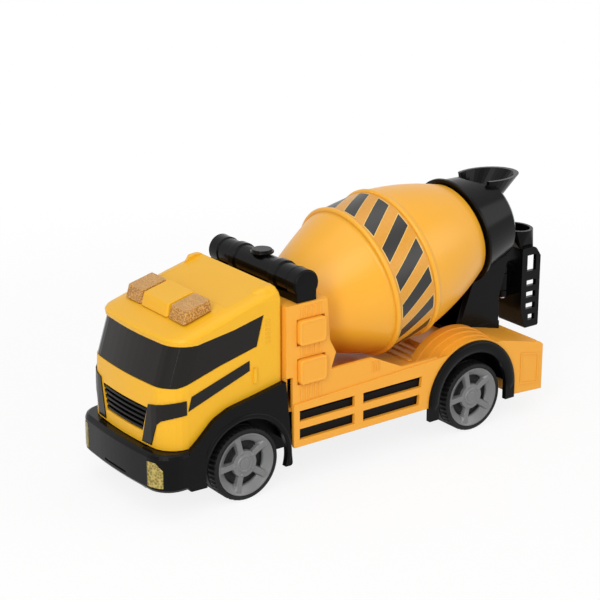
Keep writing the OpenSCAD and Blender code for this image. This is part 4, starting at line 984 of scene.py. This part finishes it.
class MIXER_OT_bed(Operator):
    """Finish the bed, its arch bands and its circuit board, and make the push buttons"""

    bl_idname = "mixer.bed"
    bl_label = "Bed"

    def execute(self, context):
        paint("bed", materials["bed"])
        for side in ("left", "right"):
            paint("rear_arch_" + side, materials["black"])
        for level in ("upper", "lower"):
            build_button("button_" + level, materials["bed"])
        paint("sound_board", materials["board"])
        paint("tact_switches", materials["silver"])
        return {"FINISHED"}


class MIXER_OT_tank(Operator):
    """Make the water tank and its cap"""

    bl_idname = "mixer.tank"
    bl_label = "Water tank"

    def execute(self, context):
        soften("water_tank", materials["black"], 0.5, 3)
        soften("tank_cap", materials["black"], 0.3)
        return {"FINISHED"}


class MIXER_OT_discharge(Operator):
    """Finish the collar with its hopper, the pedestal, the chute and its bracket"""

    bl_idname = "mixer.discharge"
    bl_label = "Hopper and chute"

    def execute(self, context):
        for node in ("collar_hopper", "rear_pedestal", "chute"):
            paint(node, materials["black"])
        soften("chute_bracket", materials["black"], 0.3)
        paint("chute_pin", materials["steel"])
        return {"FINISHED"}


class MIXER_OT_stage(Operator):
    """Make the pale floor, the studio lights and the camera"""

    bl_idname = "mixer.stage"
    bl_label = "Stage"

    def execute(self, context):
        build_stage(context.scene)
        return {"FINISHED"}


def seen_white(tree):
    """1 for rays that show the background itself, and 0 for rays that light the truck."""
    path = put(tree, "ShaderNodeLightPath").outputs
    seen = maths(tree, "MAXIMUM", path["Is Camera Ray"], path["Is Glossy Ray"])
    return maths(tree, "MAXIMUM", seen, path["Is Transmission Ray"])


def floor_paint():
    """Matte white that shows as the white background, less so near the truck and its shadow."""
    material, tree, shader = new_material("Pale floor")
    shader["Base Color"].default_value = (0.93, 0.93, 0.93, 1)
    shader["Roughness"].default_value = 0.9
    shader["Specular IOR Level"].default_value = 0.0
    place = put(tree, "ShaderNodeTexCoord").outputs["Object"]
    far = put(tree, "ShaderNodeVectorMath", {0: place}, operation="LENGTH").outputs["Value"]
    spread = ramp(tree, far, NEAR, FAR, NEAR_WHITE, FAR_WHITE, interpolation_type="SMOOTHSTEP")
    share = maths(tree, "MULTIPLY", seen_white(tree), spread)
    glow = put(tree, "ShaderNodeEmission", {"Color": (1, 1, 1, 1), "Strength": 1.0})
    mix = put(tree, "ShaderNodeMixShader", {0: share, 2: glow.outputs[0]})
    tree.links.new(tree.nodes["Principled BSDF"].outputs[0], mix.inputs[1])
    tree.links.new(mix.outputs[0], tree.nodes["Material Output"].inputs["Surface"])
    return material


def add_lamp(name, place, target, size, power):
    """A soft rectangular lamp that looks at a target, in metres and watts."""
    data = bpy.data.lights.new(name, "AREA")
    data.shape = "RECTANGLE"
    data.size, data.size_y = size
    data.energy = power
    lamp = bpy.data.objects.new(name, data)
    bpy.context.scene.collection.objects.link(lamp)
    lamp.location = place
    lamp.rotation_euler = (Vector(target) - Vector(place)).to_track_quat("-Z", "Y").to_euler()


def build_floor():
    """A pale square far wider than the truck."""
    r = FLOOR_REACH
    mesh = bpy.data.meshes.new("floor")
    mesh.from_pydata([(-r, -r, 0), (r, -r, 0), (r, r, 0), (-r, r, 0)], [], [(0, 1, 2, 3)])
    floor = bpy.data.objects.new("floor", mesh)
    bpy.context.scene.collection.objects.link(floor)
    mesh.materials.append(floor_paint())


def build_world(scene):
    """A white world that lights the truck with the ambient strength only."""
    world = bpy.data.worlds.new("studio")
    scene.world = world
    world.use_nodes = True
    tree = world.node_tree
    background = tree.nodes["Background"]
    background.inputs["Color"].default_value = (1, 1, 1, 1)
    strength = maths(tree, "MULTIPLY_ADD", seen_white(tree), 1.0 - AMBIENT, AMBIENT)
    tree.links.new(strength, background.inputs["Strength"])


def build_camera(scene):
    """The camera, which looks along the opposite of CAMERA_BACK."""
    data = bpy.data.cameras.new("camera")
    data.lens = scene.mixer_sizes.lens_length
    data.sensor_width = 36.0
    data.clip_start, data.clip_end = 0.05, 20.0
    camera = bpy.data.objects.new("camera", data)
    scene.collection.objects.link(camera)
    camera.location = CAMERA_PLACE
    camera.rotation_mode = "QUATERNION"
    camera.rotation_quaternion = (-Vector(CAMERA_BACK)).to_track_quat("-Z", "Y")
    scene.camera = camera


def build_stage(scene):
    """Floor, world, lamps and camera, with colours shown as they are."""
    build_floor()
    build_world(scene)
    for lamp in LAMPS:
        add_lamp(*lamp)
    build_camera(scene)
    scene.view_settings.view_transform = "Standard"


class MIXER_PT_panel(Panel):
    """Lists the pieces and settings of the truck"""

    bl_label = "Toy cement mixer"
    bl_idname = "MIXER_PT_panel"
    bl_space_type = "VIEW_3D"
    bl_region_type = "UI"
    bl_category = "Mixer"

    def draw(self, context):
        for settings in (context.scene.mixer_colours, context.scene.mixer_sizes):
            for name in settings.__annotations__:
                self.layout.prop(settings, name)
        for operator in OPERATORS:
            self.layout.operator(operator.bl_idname)


OPERATORS = (MIXER_OT_stage, MIXER_OT_cab, MIXER_OT_beacon, MIXER_OT_bumper, MIXER_OT_keel,
             MIXER_OT_bed, MIXER_OT_tank, MIXER_OT_drum, MIXER_OT_discharge, MIXER_OT_wheels)
CLASSES = (MixerColours, MixerSizes, *OPERATORS, MIXER_PT_panel)


def register():
    """Registers every class and hangs the settings on the scene."""
    for cls in CLASSES:
        bpy.utils.register_class(cls)
    bpy.types.Scene.mixer_colours = PointerProperty(type=MixerColours)
    bpy.types.Scene.mixer_sizes = PointerProperty(type=MixerSizes)


def unregister():
    """Takes the settings and classes away again."""
    del bpy.types.Scene.mixer_sizes
    del bpy.types.Scene.mixer_colours
    for cls in reversed(CLASSES):
        bpy.utils.unregister_class(cls)


def main():
    """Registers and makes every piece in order."""
    register()
    materials.update(make_materials())
    bpy.ops.mixer.stage()
    bpy.ops.mixer.cab()
    bpy.ops.mixer.beacon()
    bpy.ops.mixer.bumper()
    bpy.ops.mixer.keel()
    bpy.ops.mixer.bed()
    bpy.ops.mixer.tank()
    bpy.ops.mixer.drum()
    bpy.ops.mixer.discharge()
    bpy.ops.mixer.wheels()


if __name__ == "__main__":
    main()
